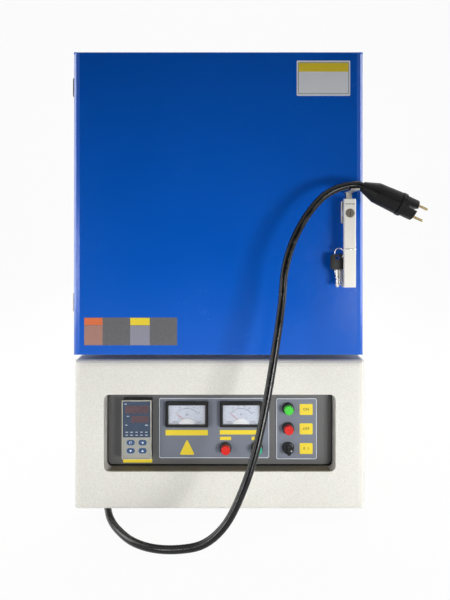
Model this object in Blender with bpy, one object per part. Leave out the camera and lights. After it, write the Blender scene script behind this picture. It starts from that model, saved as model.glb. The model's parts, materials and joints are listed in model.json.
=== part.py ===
"""Dental lab furnace: a chamber cabinet with one side-hinged door on a base with a recessed console.

Pieces are drawn in the cabinet's frame, in metres: X to the right, Y to the back, Z up, from the middle
of the base's front edge at floor level. One empty moves the whole furnace over its own origin.
"""

import bpy
import bmesh
from math import atan2, cos, hypot, pi, radians, sin, sqrt
from mathutils import Matrix, Vector

# Clearances and counts
seat_gap = 0.0003
weld_distance = 0.00001
overrun = 0.002
turning_gap = 0.0005
sliding_gap = 0.0003
round_sides = 20
small_sides = 16
rod_sides = 8
wire_sides = 6
corner_steps = 3
edge_steps = 3

# Base cabinet
base_width = 0.4745
base_depth = 0.560
base_height = 0.2417
base_side_radius = 0.012
base_top_radius = 0.010
base_low_radius = 0.0045
panel_sheet = 0.0015
floor_sheet = 0.002
base_flange = 0.014

# Feet
foot_height = 0.020
foot_radius = 0.019
foot_tip_radius = 0.016
foot_edge_radius = 0.0015
foot_side_inset = 0.083
foot_front_inset = 0.062
foot_back_inset = 0.056

# Console recess
console_width = 0.3765
console_height = 0.1252
console_rise = 0.0607
console_corner_radius = 0.009
console_recess = 0.023
fascia_depth = 0.014
fascia_sheet = 0.002
fascia_roll_radius = 0.008
fascia_edge_radius = 0.001
sill_sheet = 0.001
plate_sheet = 0.001
plate_corner_radius = 0.0033

# Meter plate and meters, placed from the console's middle
meter_plate_width = 0.1835
meter_plate_height = 0.1005
meter_plate_x = -0.0095
meter_plate_z = 0.0015
meter_width = 0.0704
meter_height = 0.042
meter_half_spacing = 0.0448
meter_rise = 0.0242
meter_proud = 0.009
meter_body_width = 0.058
meter_body_height = 0.036
meter_body_depth = 0.034
meter_window_width = 0.061
meter_window_height = 0.0318
meter_window_depth = 0.005
meter_bezel_corner = 0.002
glass_sheet = 0.0015
needle_length = 0.0215
needle_tail = 0.0015
needle_width = 0.0009
needle_sheet = 0.0005
needle_hub_radius = 0.0022
needle_pivot_drop = 0.0130
needle_rest_angle = radians(52)
needle_sweep_gap = 0.0006

# Buttons
collar_radius = 0.0092
collar_proud = 0.0075
collar_edge = 0.0012
barrel_radius = 0.0079
barrel_length = 0.010
block_width = 0.018
block_length = 0.024
cap_radius = 0.0077
cap_proud = 0.015
cap_edge = 0.001
cap_stem_radius = 0.004
cap_stem_length = 0.010
cap_travel = 0.003
heat_buttons_z = -0.0325
heat_stop_x = 0.0191
heat_start_x = 0.0713

# Switch plate and its column of switches
switch_plate_width = 0.0680
switch_plate_height = 0.1017
switch_plate_x = 0.12735
switch_plate_z = 0.0003
switch_column_x = -0.014
switch_column_z = 0.0014
switch_spacing = 0.0327
knob_proud = 0.017
knob_waist_radius = 0.0066
knob_grip_width = 0.0055

# Temperature controller
controller_width = 0.048
controller_height = 0.096
controller_x = -0.13545
controller_z = 0.0044
controller_proud = 0.020
controller_corner_radius = 0.0015
controller_body_width = 0.0445
controller_body_height = 0.0915
controller_body_depth = 0.075
controller_face_recess = 0.0012
controller_rim = 0.0016
key_width = 0.0134
key_height = 0.0088
key_half_spacing = 0.0097
key_upper_drop = 0.021
key_row_spacing = 0.0133
key_proud = 0.0012
key_depth = 0.0024
key_travel = 0.0006

# Upper cabinet
door_under_gap = 0.0085
door_width = base_width
door_height = 0.4925
door_depth = 0.045
door_left_shift = 0.0023
door_side_radius = 0.012
door_fold_radius = 0.0025
door_back_gap = 0.005
cover_height = 0.025
cover_edge_radius = 0.003
frame_depth = 0.018
lock_slot_gap = 0.0025

# Chamber and its insulation
chamber_width = 0.180
chamber_height = 0.180
chamber_depth = 0.220
side_room = 0.05725
floor_board = 0.090
roof_board = 0.090
back_board = 0.100
mouth_step = 0.012
mouth_step_depth = 0.026
casing_sheet = 0.0012
casing_rise = 0.020
casing_rail_width = 0.030
casing_rail_inset = 0.060
hearth_width = 0.118
hearth_depth = 0.180
hearth_sheet = 0.012
hearth_edge = 0.0015

# Door insulation, a stepped plug
plug_block_width = 0.260
plug_root_gap = 0.004
plug_nose_reach = 0.050
plug_nose_gap = 0.007
plug_taper = 0.003
liner_setback = 0.0008

# Heating elements, hung through the roof
hot_radius = 0.003
cold_radius = 0.006
element_legs = 0.040
element_wall_gap = 0.016
element_floor_gap = 0.022
cold_reach = 0.024
element_taper = 0.010
element_front_share = 0.27
element_back_share = 0.70
element_hole_gap = 0.0015
holder_length = 0.072
holder_width = 0.026
holder_height = 0.026
holder_recess = 0.010
clamp_width = 0.018
clamp_height = 0.012
clamp_top_gap = 0.004
strap_width = 0.012
strap_sheet = 0.002
strap_arch = 0.012

# Thermocouple
sheath_radius = 0.004
sheath_reach = 0.030
head_radius = 0.020
head_length = 0.028
head_collar_radius = 0.012
head_collar_length = 0.014
thermocouple_rise = 0.045

# Vent slots
slot_height = 0.005
slot_pitch = 0.013
side_slot_length = 0.130
side_slot_rows = 4
side_slot_columns = 2
side_slot_rise = 0.040
cover_slot_length = 0.100
cover_slot_rows = 6
back_slot_length = 0.130
back_slot_rows = 4

# Hinges
hinge_radius = 0.0055
hinge_pin_radius = 0.003
hinge_leaf = 0.0025
hinge_leaf_length = 0.034
hinge_half_height = 0.030
hinge_pin_height = 0.022
hinge_low_share = 0.14
hinge_high_share = 0.86

# Lock, lever and keys
lever_width = 0.0186
lever_sheet = 0.007
lever_front = 0.031
lever_length = 0.1396
lever_top_above_pivot = 0.0225
lever_chamfer = 0.001
lever_inset = 0.02985
lever_pivot_z = 0.4994
boss_radius = 0.0084
rose_width = 0.0176
rose_height = 0.036
rose_rise = 0.0205
rose_sheet = 0.005
lock_barrel_radius = 0.0080
spindle_radius = 0.005
spindle_tip_radius = 0.004
cylinder_radius = 0.0071
cylinder_depth = 0.013
keyway_width = 0.0014
keyway_height = 0.008
keyway_depth = 0.005
lug_width = 0.0094
lug_shift = 0.0040
hook_sheet = 0.0016
hook_lip = 0.0012
hook_width = 0.0130
hook_shift = 0.0030
hook_drop = 0.0006
cam_length = 0.020
cam_width = 0.012
cam_sheet = 0.003
cam_back_gap = 0.0008
strike_sheet = 0.002
strike_margin = 0.008
ring_radius = 0.0142
ring_wire = 0.0007
ring_below_pivot = 0.0573
ring_shift_x = -0.0024
ring_shift_y = 0.0066
ring_hang_angle = radians(34)
link_radius = 0.0078
link_wire = 0.0006
link_hang_gap = 0.0007
link_turn = radians(36)
key_head_width = 0.022
key_head_height = 0.0247
key_head_sheet = 0.003
key_head_corner = 0.003
key_head_gap = 0.0006
key_lean = 0.0036
key_slot_width = 0.0096
key_slot_height = 0.005
key_slot_drop = 0.0056
key_blade_width = 0.0088
key_blade_length = 0.028
key_blade_sheet = 0.002
key_blade_bite = 0.004
key_bite_shares = (0.10, 0.55, 0.25, 0.80, 0.35, 0.65, 0.15)

# Things in the base
fan_width = 0.120
fan_depth = 0.038
fan_duct_radius = 0.056
fan_hub_radius = 0.022
fan_motor_length = 0.009
fan_strut_width = 0.005
fan_blades = 7
fan_tip_gap = 0.002
fan_blade_sheet = 0.0016
fan_blade_tilt = radians(38)
fan_inset = 0.13225
fan_z = 0.145
guard_rim = 0.004
guard_slot_height = 0.0065
guard_slot_pitch = 0.0105
core_width = 0.150
core_height = 0.125
core_stack = 0.060
core_limb = 0.025
core_x = -0.075
core_y = 0.330
coil_gap = 0.0015
coil_stack_share = 0.80
core_foot_height = 0.008
core_foot_width = 0.030
sink_width = 0.090
sink_height = 0.110
sink_depth = 0.055
sink_fins = 9
sink_fin_share = 0.5
sink_root_share = 0.35
thyristor_width = 0.050
thyristor_height = 0.080
thyristor_depth = 0.032
board_width = 0.150
board_depth = 0.200
board_x = 0.110
board_y = 0.180
contactor_width = 0.045
contactor_depth = 0.074
contactor_height = 0.072
terminal_count = 8
terminal_pitch = 0.008
terminal_height = 0.042
terminal_depth = 0.046

# Mains cord
cord_radius = 0.006
cord_bend_resolution = 2
gland_radius = 0.013
gland_nut_length = 0.008
gland_boot_length = 0.036
gland_tip_radius = 0.0085
gland_thread_radius = 0.010
gland_x = -0.190
gland_z = 0.112
plug_neck_radius = 0.0080
plug_swell_radius = 0.0160
plug_swell_length = 0.023
plug_full_radius = 0.0184
plug_body_length = 0.0625
plug_ridge_length = 0.0065
plug_ridge_depth = 0.0008
plug_nose_radius = 0.0164
plug_nose_length = 0.0200
plug_slot_width = 0.004
plug_slot_depth = 0.014
pin_radius = 0.0020
pin_reach = 0.018
pin_spacing = 0.019
pin_seat = 0.019
plug_dip = radians(24.8)
plug_neck_place = (0.2206, -0.0460, 0.5399)

# The cord's route from the gland's tip, under the base, out at the front and up over the handle's hook
under_route = [
    (-0.1902, 0.6350, 0.1075), (-0.1910, 0.6520, 0.0920), (-0.1922, 0.6590, 0.0680), (-0.1940, 0.6560, 0.0420),
    (-0.1960, 0.6420, 0.0190), (-0.1978, 0.6190, 0.0085), (-0.1990, 0.5900, 0.0062), (-0.2000, 0.5500, 0.0062),
    (-0.2000, 0.4500, 0.0062), (-0.1995, 0.3500, 0.0062), (-0.1990, 0.2500, 0.0062), (-0.1985, 0.1500, 0.0062),
    (-0.1970, 0.0900, 0.0062), (-0.1920, 0.0500, 0.0062)]
free_route = [
    (-0.1862, 0.0260, 0.0062), (-0.1760, -0.0050, 0.0062), (-0.1590, -0.0380, 0.0062), (-0.1310, -0.0740, 0.0062),
    (-0.0960, -0.0990, 0.0085), (-0.0560, -0.1140, 0.0150), (-0.0200, -0.1210, 0.0270), (0.0100, -0.1240, 0.0560),
    (0.0330, -0.1210, 0.1000), (0.0510, -0.1110, 0.1480), (0.0665, -0.0980, 0.2080), (0.0800, -0.0850, 0.2760),
    (0.0930, -0.0730, 0.3560), (0.0990, -0.0680, 0.4120), (0.1130, -0.0620, 0.4570), (0.1350, -0.0560, 0.4960),
    (0.1600, -0.0510, 0.5240), (0.1840, -0.0480, 0.5372), (0.2030, -0.0465, 0.5415)]
route_step = 0.026
route_parts = 16

# Places worked out from the sizes above
base_low = foot_height
base_top = foot_height + base_height
base_half = base_width / 2
fan_x = base_half - fan_inset
console_low = base_low + console_rise
console_mid = console_low + console_height / 2
plate_front = console_recess - seat_gap - plate_sheet
door_low = base_top + door_under_gap
door_top = door_low + door_height
door_left = -door_width / 2 - door_left_shift
door_right = door_width / 2 - door_left_shift
body_front = door_depth + door_back_gap
cover_low = door_top - cover_height
shell_low = base_top + seat_gap
shell_floor = shell_low + panel_sheet
frame_back = body_front + panel_sheet
liner_back = door_depth - liner_setback
liner_front = liner_back - panel_sheet
casing_low = shell_floor + casing_rise
boards_front = frame_back + seat_gap
boards_back = boards_front + mouth_step_depth + plug_nose_reach + chamber_depth + back_board - mouth_step_depth
boards_low = casing_low + casing_sheet + seat_gap
chamber_low = boards_low + floor_board + seat_gap
chamber_high = chamber_low + chamber_height
chamber_mid = (chamber_low + chamber_high) / 2
chamber_half = chamber_width / 2
chamber_back = boards_back - back_board
roof_low = chamber_high + seat_gap
roof_top = roof_low + roof_board
boards_half = base_half - side_room
hearth_low = chamber_low + seat_gap
hearth_top = hearth_low + hearth_sheet
hinge_x = -base_half - seat_gap - hinge_radius
hinge_y = body_front
cord_height = cord_radius + seat_gap
lever_x = door_right - lever_inset
lever_pivot = Vector((lever_x, 0, lever_pivot_z))
lever_back = lever_front - lever_sheet
hook_floor = free_route[-1][2] - cord_radius - seat_gap - hook_drop
hook_reach = -plug_neck_place[1] + cord_radius + overrun
back_panel_back = base_depth + seat_gap + panel_sheet
lead_hole_y = base_depth - base_side_radius - 4 * base_flange
lead_hole_radius = base_flange
reach_left = hinge_x - hinge_radius
reach_front = -hook_reach - hook_sheet
middle_x = (reach_left + base_half) / 2
middle_y = (reach_front + back_panel_back) / 2


def linear(red, green, blue):
    """A screen colour of 0 to 255 as the linear colour that a shader wants."""
    shares = [value / 255 for value in (red, green, blue)]
    return [s / 12.92 if s <= 0.04045 else ((s + 0.055) / 1.055) ** 2.4 for s in shares] + [1]


def look(name, colour, roughness, metallic=0.0, alpha=1.0):
    material = bpy.data.materials.new(name)
    material.use_nodes = True
    shader = material.node_tree.nodes["Principled BSDF"]
    shader.inputs["Base Color"].default_value = linear(*colour)
    shader.inputs["Roughness"].default_value = roughness
    shader.inputs["Metallic"].default_value = metallic
    shader.inputs["Alpha"].default_value = alpha
    return material


for old in list(bpy.data.objects):
    bpy.data.objects.remove(old, do_unlink=True)

LOOKS = {
    "pale_paint": look("pale_paint", (222, 220, 212), 0.45),
    "blue_paint": look("blue_paint", (2, 72, 172), 0.28),
    "fascia_grey": look("fascia_grey", (92, 92, 93), 0.5),
    "plate_grey": look("plate_grey", (128, 134, 148), 0.4),
    "black_plastic": look("black_plastic", (22, 22, 24), 0.45),
    "dark_rubber": look("dark_rubber", (24, 24, 24), 0.7),
    "sill_olive": look("sill_olive", (84, 80, 66), 0.6),
    "steel": look("steel", (176, 178, 180), 0.3, 1.0),
    "zinc_grey": look("zinc_grey", (222, 220, 212), 0.35, 0.4),
    "dark_metal": look("dark_metal", (70, 68, 62), 0.35, 1.0),
    "galvanised": look("galvanised", (168, 172, 174), 0.45, 1.0),
    "fibre_white": look("fibre_white", (240, 238, 232), 0.95),
    "hearth_cream": look("hearth_cream", (232, 222, 200), 0.85),
    "element_grey": look("element_grey", (96, 96, 100), 0.35, 0.9),
    "aluminium": look("aluminium", (200, 202, 204), 0.35, 1.0),
    "copper": look("copper", (184, 110, 62), 0.35, 1.0),
    "glass": look("glass", (230, 236, 240), 0.05, 0.0, 0.35),
    "needle_red": look("needle_red", (190, 40, 30), 0.4),
    "button_green": look("button_green", (78, 200, 70), 0.35),
    "button_red": look("button_red", (214, 52, 44), 0.35),
    "button_teal": look("button_teal", (40, 170, 125), 0.35),
    "key_blue": look("key_blue", (36, 52, 96), 0.5),
}

# Bodies: an empty on each joint's axis, which carries the pieces that move with it
PLACES = {}


def body(name, place, parent=None):
    empty = bpy.data.objects.new(name, None)
    bpy.context.collection.objects.link(empty)
    PLACES[name] = Vector(place)
    empty.parent = parent
    empty.location = PLACES[name] - (PLACES[parent.name] if parent else Vector())
    return empty


furnace = body("furnace", (0, 0, 0))
furnace.location = (-middle_x, -middle_y, 0)


# Meshes
def place_on(axis, u, v, along):
    """The point at u, v across an axis and at a distance along it."""
    return {"x": Vector((along, u, v)), "y": Vector((u, along, v)), "z": Vector((u, v, along))}[axis]


def loft(rings, closed=False):
    """A body through rings of points, with its ends capped, or joined to each other when closed."""
    mesh = bmesh.new()
    rows = [[mesh.verts.new(point) for point in ring] for ring in rings]
    pairs = list(zip(rows, rows[1:])) + ([(rows[-1], rows[0])] if closed else [])
    for low, high in pairs:
        for i in range(len(low)):
            j = (i + 1) % len(low)
            mesh.faces.new((low[i], low[j], high[j], high[i]))
    if not closed:
        mesh.faces.new(rows[0])
        mesh.faces.new(rows[-1])
    bmesh.ops.recalc_face_normals(mesh, faces=mesh.faces)
    return mesh


def circle(radius, sides=round_sides):
    return [(radius * cos(2 * pi * (i + 0.5) / sides), radius * sin(2 * pi * (i + 0.5) / sides))
            for i in range(sides)]


def rounded(width, height, radius, steps=corner_steps):
    """The outline of a rectangle with round corners, about its middle."""
    corners = [(1, 1, 0), (-1, 1, 1), (-1, -1, 2), (1, -1, 3)]
    points = []
    for side, level, quarter in corners:
        for i in range(steps + 1):
            turn = (quarter + i / steps) * pi / 2
            points.append((side * (width / 2 - radius) + radius * cos(turn),
                           level * (height / 2 - radius) + radius * sin(turn)))
    return [a for a, b in zip(points, points[-1:] + points) if hypot(a[0] - b[0], a[1] - b[1]) > weld_distance]


def stack(axis, centre, sections, closed=False):
    """A body through outlines, each at its distance along an axis through the centre."""
    u0, v0 = centre
    return loft([[place_on(axis, u0 + u, v0 + v, along) for u, v in outline]
                 for outline, along in sections], closed)


def turned(axis, centre, profile, sides=round_sides, closed=False):
    return stack(axis, centre, [(circle(radius, sides), along) for radius, along in profile], closed)


def prism(axis, outline, low, high):
    return stack(axis, (0, 0), [(outline, low), (outline, high)])


def block(low, high):
    """A box between two corners."""
    (x0, y0, z0), (x1, y1, z1) = low, high
    return prism("z", [(x0, y0), (x1, y0), (x1, y1), (x0, y1)], z0, z1)


def slab(middle, size):
    """A box about its middle."""
    half = Vector(size) / 2
    return block(Vector(middle) - half, Vector(middle) + half)


def together(*meshes):
    """Several bodies in one mesh."""
    whole = bmesh.new()
    for mesh in meshes:
        data = bpy.data.meshes.new("part")
        mesh.to_mesh(data)
        mesh.free()
        whole.from_mesh(data)
        bpy.data.meshes.remove(data)
    return whole


def moved(mesh, matrix):
    mesh.transform(matrix)
    return mesh


def ring_of_wire(centre, radius, wire, across, up):
    """A round ring of wire in the plane of two directions."""
    centre, across, up = Vector(centre), Vector(across), Vector(up)
    normal = across.cross(up)
    rings = []
    for i in range(round_sides):
        turn = 2 * pi * i / round_sides
        outward = across * cos(turn) + up * sin(turn)
        rings.append([centre + outward * (radius + u) + normal * v for u, v in circle(wire, wire_sides)])
    return loft(rings, closed=True)


SIDES = {"left": (-1, 0, 0), "right": (1, 0, 0), "front": (0, -1, 0), "back": (0, 1, 0),
         "bottom": (0, 0, -1), "top": (0, 0, 1)}


def side_of(face):
    return min(SIDES, key=lambda name: (Vector(SIDES[name]) - face.normal).length)


# Objects
def piece(name, mesh, finish, carrier=furnace, smooth=True):
    """A node: a mesh drawn in the cabinet's frame, hung on its body's empty."""
    data = bpy.data.meshes.new(name)
    mesh.to_mesh(data)
    mesh.free()
    data.materials.append(LOOKS[finish])
    if smooth:
        data.shade_smooth()
        data.set_sharp_from_angle(angle=radians(35))
    item = bpy.data.objects.new(name, data)
    bpy.context.collection.objects.link(item)
    item.parent = carrier
    item.location = -PLACES[carrier.name]
    return item


def tool(name, mesh, carrier=furnace):
    """A hidden body that a Boolean modifier uses."""
    item = piece(name, mesh, "steel", carrier, smooth=False)
    item.hide_render = True
    item.display_type = "WIRE"
    return item


def boolean(item, name, mesh, operation, carrier=furnace):
    step = item.modifiers.new(name, "BOOLEAN")
    step.operation = operation
    step.solver = "EXACT"
    step.object = tool(item.name + "_" + name, mesh, carrier)


def cut(item, name, mesh, carrier=furnace):
    boolean(item, name, mesh, "DIFFERENCE", carrier)


def join(item, name, mesh, carrier=furnace):
    boolean(item, name, mesh, "UNION", carrier)


def folded(name, low, high, rounds, finish, carrier=furnace, wall=None, open_sides=()):
    """A box with round edges, solid, or of sheet with some sides left open."""
    mesh = block(low, high)
    weight = mesh.edges.layers.float.new("bevel_weight_edge")
    largest = max(rounds.values())
    for edge in mesh.edges:
        names = {side_of(face) for face in edge.link_faces}
        for pair, radius in rounds.items():
            if set(pair.split()) == names:
                edge[weight] = radius / largest
    open_faces = [face for face in mesh.faces if side_of(face) in open_sides]
    bmesh.ops.delete(mesh, geom=open_faces, context="FACES")
    item = piece(name, mesh, finish, carrier)
    bend = item.modifiers.new("round_edges", "BEVEL")
    bend.width = largest
    bend.segments = edge_steps
    bend.limit_method = "WEIGHT"
    if wall:
        sheet = item.modifiers.new("sheet", "SOLIDIFY")
        sheet.thickness = wall
        sheet.offset = -1
        sheet.use_even_offset = True
    return item


def slots(axis, middle, length, rows, columns, pitch, column_pitch, low, high):
    """Round-ended slots in rows and columns, to cut through a sheet."""
    u0, v0 = middle
    outline = rounded(length, slot_height, slot_height / 2, 1)
    shapes = []
    for row in range(rows):
        for column in range(columns):
            u = u0 + (column - (columns - 1) / 2) * column_pitch
            v = v0 + (row - (rows - 1) / 2) * pitch
            shapes.append(stack(axis, (u, v), [(outline, low), (outline, high)]))
    return together(*shapes)


def tube(name, points, radii, finish, carrier=furnace):
    """Round tubes along runs of points, with a radius at each point."""
    curve = bpy.data.curves.new(name, "CURVE")
    curve.dimensions = "3D"
    curve.bevel_depth = 1
    curve.bevel_resolution = cord_bend_resolution
    curve.use_fill_caps = True
    for run, widths in zip(points, radii):
        spline = curve.splines.new("POLY")
        spline.points.add(len(run) - 1)
        for point, place, width in zip(spline.points, run, widths):
            point.co = (*place, 1)
            point.radius = width
    curve.materials.append(LOOKS[finish])
    item = bpy.data.objects.new(name, curve)
    bpy.context.collection.objects.link(item)
    item.parent = carrier
    item.location = -PLACES[carrier.name]
    return item


def smooth_route(points, step):
    """Points at even steps along a smooth curve through the route's own points."""
    route = [Vector(point) for point in points]
    ends = [2 * route[0] - route[1]] + route + [2 * route[-1] - route[-2]]
    fine = []
    for before, start, end, after in zip(ends, ends[1:], ends[2:], ends[3:]):
        for i in range(route_parts):
            t = i / route_parts
            fine.append(0.5 * (2 * start + (end - before) * t
                               + (2 * before - 5 * start + 4 * end - after) * t ** 2
                               + (3 * start - before - 3 * end + after) * t ** 3))
    fine.append(route[-1])
    runs = [0]
    for a, b in zip(fine, fine[1:]):
        runs.append(runs[-1] + (b - a).length)
    count = round(runs[-1] / step)
    even = []
    here = 0
    for i in range(count + 1):
        want = runs[-1] * i / count
        while here < len(runs) - 2 and runs[here + 1] < want:
            here += 1
        share = (want - runs[here]) / (runs[here + 1] - runs[here])
        even.append(fine[here].lerp(fine[here + 1], share))
    return even, runs[-1]


# Bodies that move
door_body = body("door_hinge", (hinge_x, hinge_y, door_low), furnace)
lever_body = body("lever_pivot", lever_pivot, door_body)
cylinder_body = body("cylinder_axis", lever_pivot + Vector((0, -lever_front, 0)), lever_body)
ring_centre = Vector((lever_x + ring_shift_x, -lever_front + ring_shift_y, lever_pivot_z - ring_below_pivot))
hang_point = ring_centre + Vector((-cos(ring_hang_angle), sin(ring_hang_angle), 0)) * ring_radius
keys_body = body("keys_hang", hang_point, lever_body)


def base_shell():
    """The pale base, wrapped from sheet, with flanges round its floor and its back."""
    low = (-base_half, 0, base_low)
    high = (base_half, base_depth, base_top)
    rounds = {"left front": base_side_radius, "right front": base_side_radius, "top front": base_top_radius,
              "top left": base_low_radius, "top right": base_low_radius, "bottom front": base_low_radius,
              "bottom left": base_low_radius, "bottom right": base_low_radius}
    shell = folded("base_shell", low, high, rounds, "pale_paint", wall=panel_sheet)
    middle = (0, console_mid)
    sleeve = rounded(console_width + 2 * panel_sheet, console_height + 2 * panel_sheet,
                     console_corner_radius + panel_sheet)
    opening = rounded(console_width, console_height, console_corner_radius)
    join(shell, "recess", stack("y", middle, [(sleeve, panel_sheet / 2), (sleeve, console_recess + fascia_depth)]))
    cut(shell, "opening", stack("y", middle, [(opening, -overrun), (opening, console_recess + fascia_depth + overrun)]))
    floor_hole = block((-base_half + base_flange, base_flange, base_low - overrun),
                       (base_half - base_flange, base_depth - base_flange, base_low + panel_sheet + overrun))
    back_hole = block((-base_half + base_flange, base_depth - base_flange / 2, base_low + base_flange),
                      (base_half - base_flange, base_depth + overrun, base_top - base_flange))
    cut(shell, "floor_and_back", together(floor_hole, back_hole))
    lead_hole = turned("z", (0, lead_hole_y), [(lead_hole_radius, base_top - panel_sheet - overrun),
                                               (lead_hole_radius, base_top + overrun)], small_sides)
    cut(shell, "lead_hole", lead_hole)




def base_floor():
    """The floor pan on the shell's flange, with four feet moulded on under it."""
    inset = panel_sheet + base_low_radius
    low = (-base_half + inset, inset + base_side_radius - base_low_radius, base_low + panel_sheet + seat_gap)
    high = (base_half - inset, base_depth - panel_sheet - seat_gap, low[2] + floor_sheet)
    pan = piece("base_floor", block(low, high), "galvanised")
    profile = [(foot_tip_radius - foot_edge_radius, 0), (foot_tip_radius, foot_edge_radius),
               (foot_radius, foot_height - foot_edge_radius), (foot_radius, low[2] + floor_sheet / 2)]
    side = base_half - foot_side_inset
    places = [(x, y) for x in (-side, side) for y in (foot_front_inset, base_depth - foot_back_inset)]
    join(pan, "feet", together(*[turned("z", place, profile, small_sides) for place in places]))
    return high[2]


floor_top = base_floor()
base_shell()


def guard_slots(low, high):
    """Slots of a finger guard, whose lengths follow the fan's round duct."""
    reach = fan_duct_radius - guard_rim
    count = int((reach - guard_slot_height / 2) // guard_slot_pitch)
    shapes = []
    for row in range(-count, count + 1):
        rise = row * guard_slot_pitch
        half = sqrt(reach ** 2 - (abs(rise) + guard_slot_height / 2) ** 2)
        outline = rounded(half - guard_rim / 2, guard_slot_height, guard_slot_height / 2, 1)
        for side in (-1, 1):
            middle = (fan_x + side * (half + guard_rim / 2) / 2, fan_z + rise)
            shapes.append(stack("y", middle, [(outline, low), (outline, high)]))
    return together(*shapes)


def base_back_panel():
    """The rear panel of the base, screwed over the opening from outside."""
    edge = base_flange / 2
    low = (-base_half + edge, base_depth + seat_gap, base_low + edge)
    high = (base_half - edge, back_panel_back, base_top - edge)
    panel = piece("base_back_panel", block(low, high), "pale_paint")
    near, far = low[1] - overrun, high[1] + overrun
    cut(panel, "guard", guard_slots(near, far))
    vents = slots("y", (core_x, (base_low + base_top) / 2), back_slot_length, back_slot_rows, 1, slot_pitch, 0, near, far)
    hole = turned("y", (gland_x, gland_z), [(gland_thread_radius + seat_gap, near), (gland_thread_radius + seat_gap, far)])
    cut(panel, "vents", together(vents, hole))


base_back_panel()


def console():
    """The console's sill, its fascia of folded sheet and the two plates that lie on it."""
    half = console_width / 2
    sill_half = half - console_corner_radius
    piece("console_sill", block((-sill_half, seat_gap, console_low + seat_gap),
                                (sill_half, console_recess - seat_gap, console_low + seat_gap + sill_sheet)),
          "sill_olive")
    low = (-half + seat_gap, console_recess, console_low + seat_gap)
    high = (half - seat_gap, console_recess + fascia_depth, console_low + console_height - seat_gap)
    corner = console_corner_radius - seat_gap
    rounds = {"left front": fascia_roll_radius, "right front": fascia_roll_radius, "top front": fascia_edge_radius,
              "bottom front": fascia_edge_radius, "top left": corner, "top right": corner,
              "bottom left": corner, "bottom right": corner}
    fascia = folded("console_fascia", low, high, rounds, "fascia_grey", wall=fascia_sheet, open_sides=("back",))
    plates = {"meter_plate": (meter_plate_width, meter_plate_height, meter_plate_x, meter_plate_z),
              "switch_plate": (switch_plate_width, switch_plate_height, switch_plate_x, switch_plate_z)}
    cut(fascia, "holes", console_holes())
    for name, (width, height, x, z) in plates.items():
        outline = rounded(width, height, plate_corner_radius)
        plate = piece(name, stack("y", (x, console_mid + z), [(outline, plate_front),
                                                              (outline, plate_front + plate_sheet)]), "plate_grey")
        if name == "meter_plate":
            cut(plate, "holes", together(*meter_holes()))
        places = [place for place in switch_places().values() if abs(place[0] - x) < width / 2]
        collars(plate, places)


def collars(plate, places):
    """Collars on a plate, each with its barrel and contact block behind and a bore for its cap."""
    base = plate_front
    front = plate_front - seat_gap - collar_proud
    shelf = switch_shelf()
    back = plate_front + barrel_length
    shapes, blocks, pits = [], [], []
    for place in places:
        shapes.append(turned("y", place, [
            (collar_radius - collar_edge, front), (collar_radius, front + collar_edge),
            (collar_radius, base + plate_sheet / 2), (barrel_radius, base + plate_sheet / 2), (barrel_radius, back)],
            small_sides))
        blocks.append(slab((place[0], back + block_length / 2 - overrun, place[1]),
                           (block_width, block_length, block_width)))
        bore, stem_bore = cap_radius + sliding_gap, cap_stem_radius + sliding_gap
        pits.append(turned("y", place, [(bore, front - overrun), (bore, shelf), (stem_bore, shelf),
                                        (stem_bore, shelf + cap_stem_length + cap_travel)], small_sides))
    join(plate, "collars", together(*shapes))
    join(plate, "contact_blocks", together(*blocks))
    cut(plate, "bores", together(*pits))


def switch_shelf():
    """Where a switch's wide bore ends."""
    return plate_front - seat_gap - overrun / 2


def switch_places():
    """The middles of the five switches, by name."""
    x = switch_plate_x + switch_column_x
    z = console_mid + switch_plate_z + switch_column_z
    meter_z = console_mid + meter_plate_z + heat_buttons_z
    return {"power_on_button": (x, z + switch_spacing), "power_off_button": (x, z),
            "lock_knob": (x, z - switch_spacing), "heat_stop_button": (meter_plate_x + heat_stop_x, meter_z),
            "heat_start_button": (meter_plate_x + heat_start_x, meter_z)}


def meter_places():
    z = console_mid + meter_plate_z + meter_rise
    return {"ammeter": (meter_plate_x - meter_half_spacing, z), "voltmeter": (meter_plate_x + meter_half_spacing, z)}


def meter_holes():
    """Openings for the meters' waists, through the plate and the fascia."""
    near, far = plate_front - overrun, console_recess + fascia_sheet + overrun
    return [slab((x, (near + far) / 2, z), (meter_body_width + 2 * seat_gap, far - near, meter_body_height + 2 * seat_gap))
            for x, z in meter_places().values()]


def console_holes():
    near, far = plate_front - overrun, console_recess + fascia_sheet + overrun
    bore = barrel_radius + seat_gap
    shapes = [turned("y", place, [(bore, near), (bore, far)], small_sides) for place in switch_places().values()]
    shapes.append(slab((controller_x, (near + far) / 2, console_mid + controller_z),
                       (controller_body_width + 2 * seat_gap, far - near, controller_body_height + 2 * seat_gap)))
    return together(*shapes, *meter_holes())


console()


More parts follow.
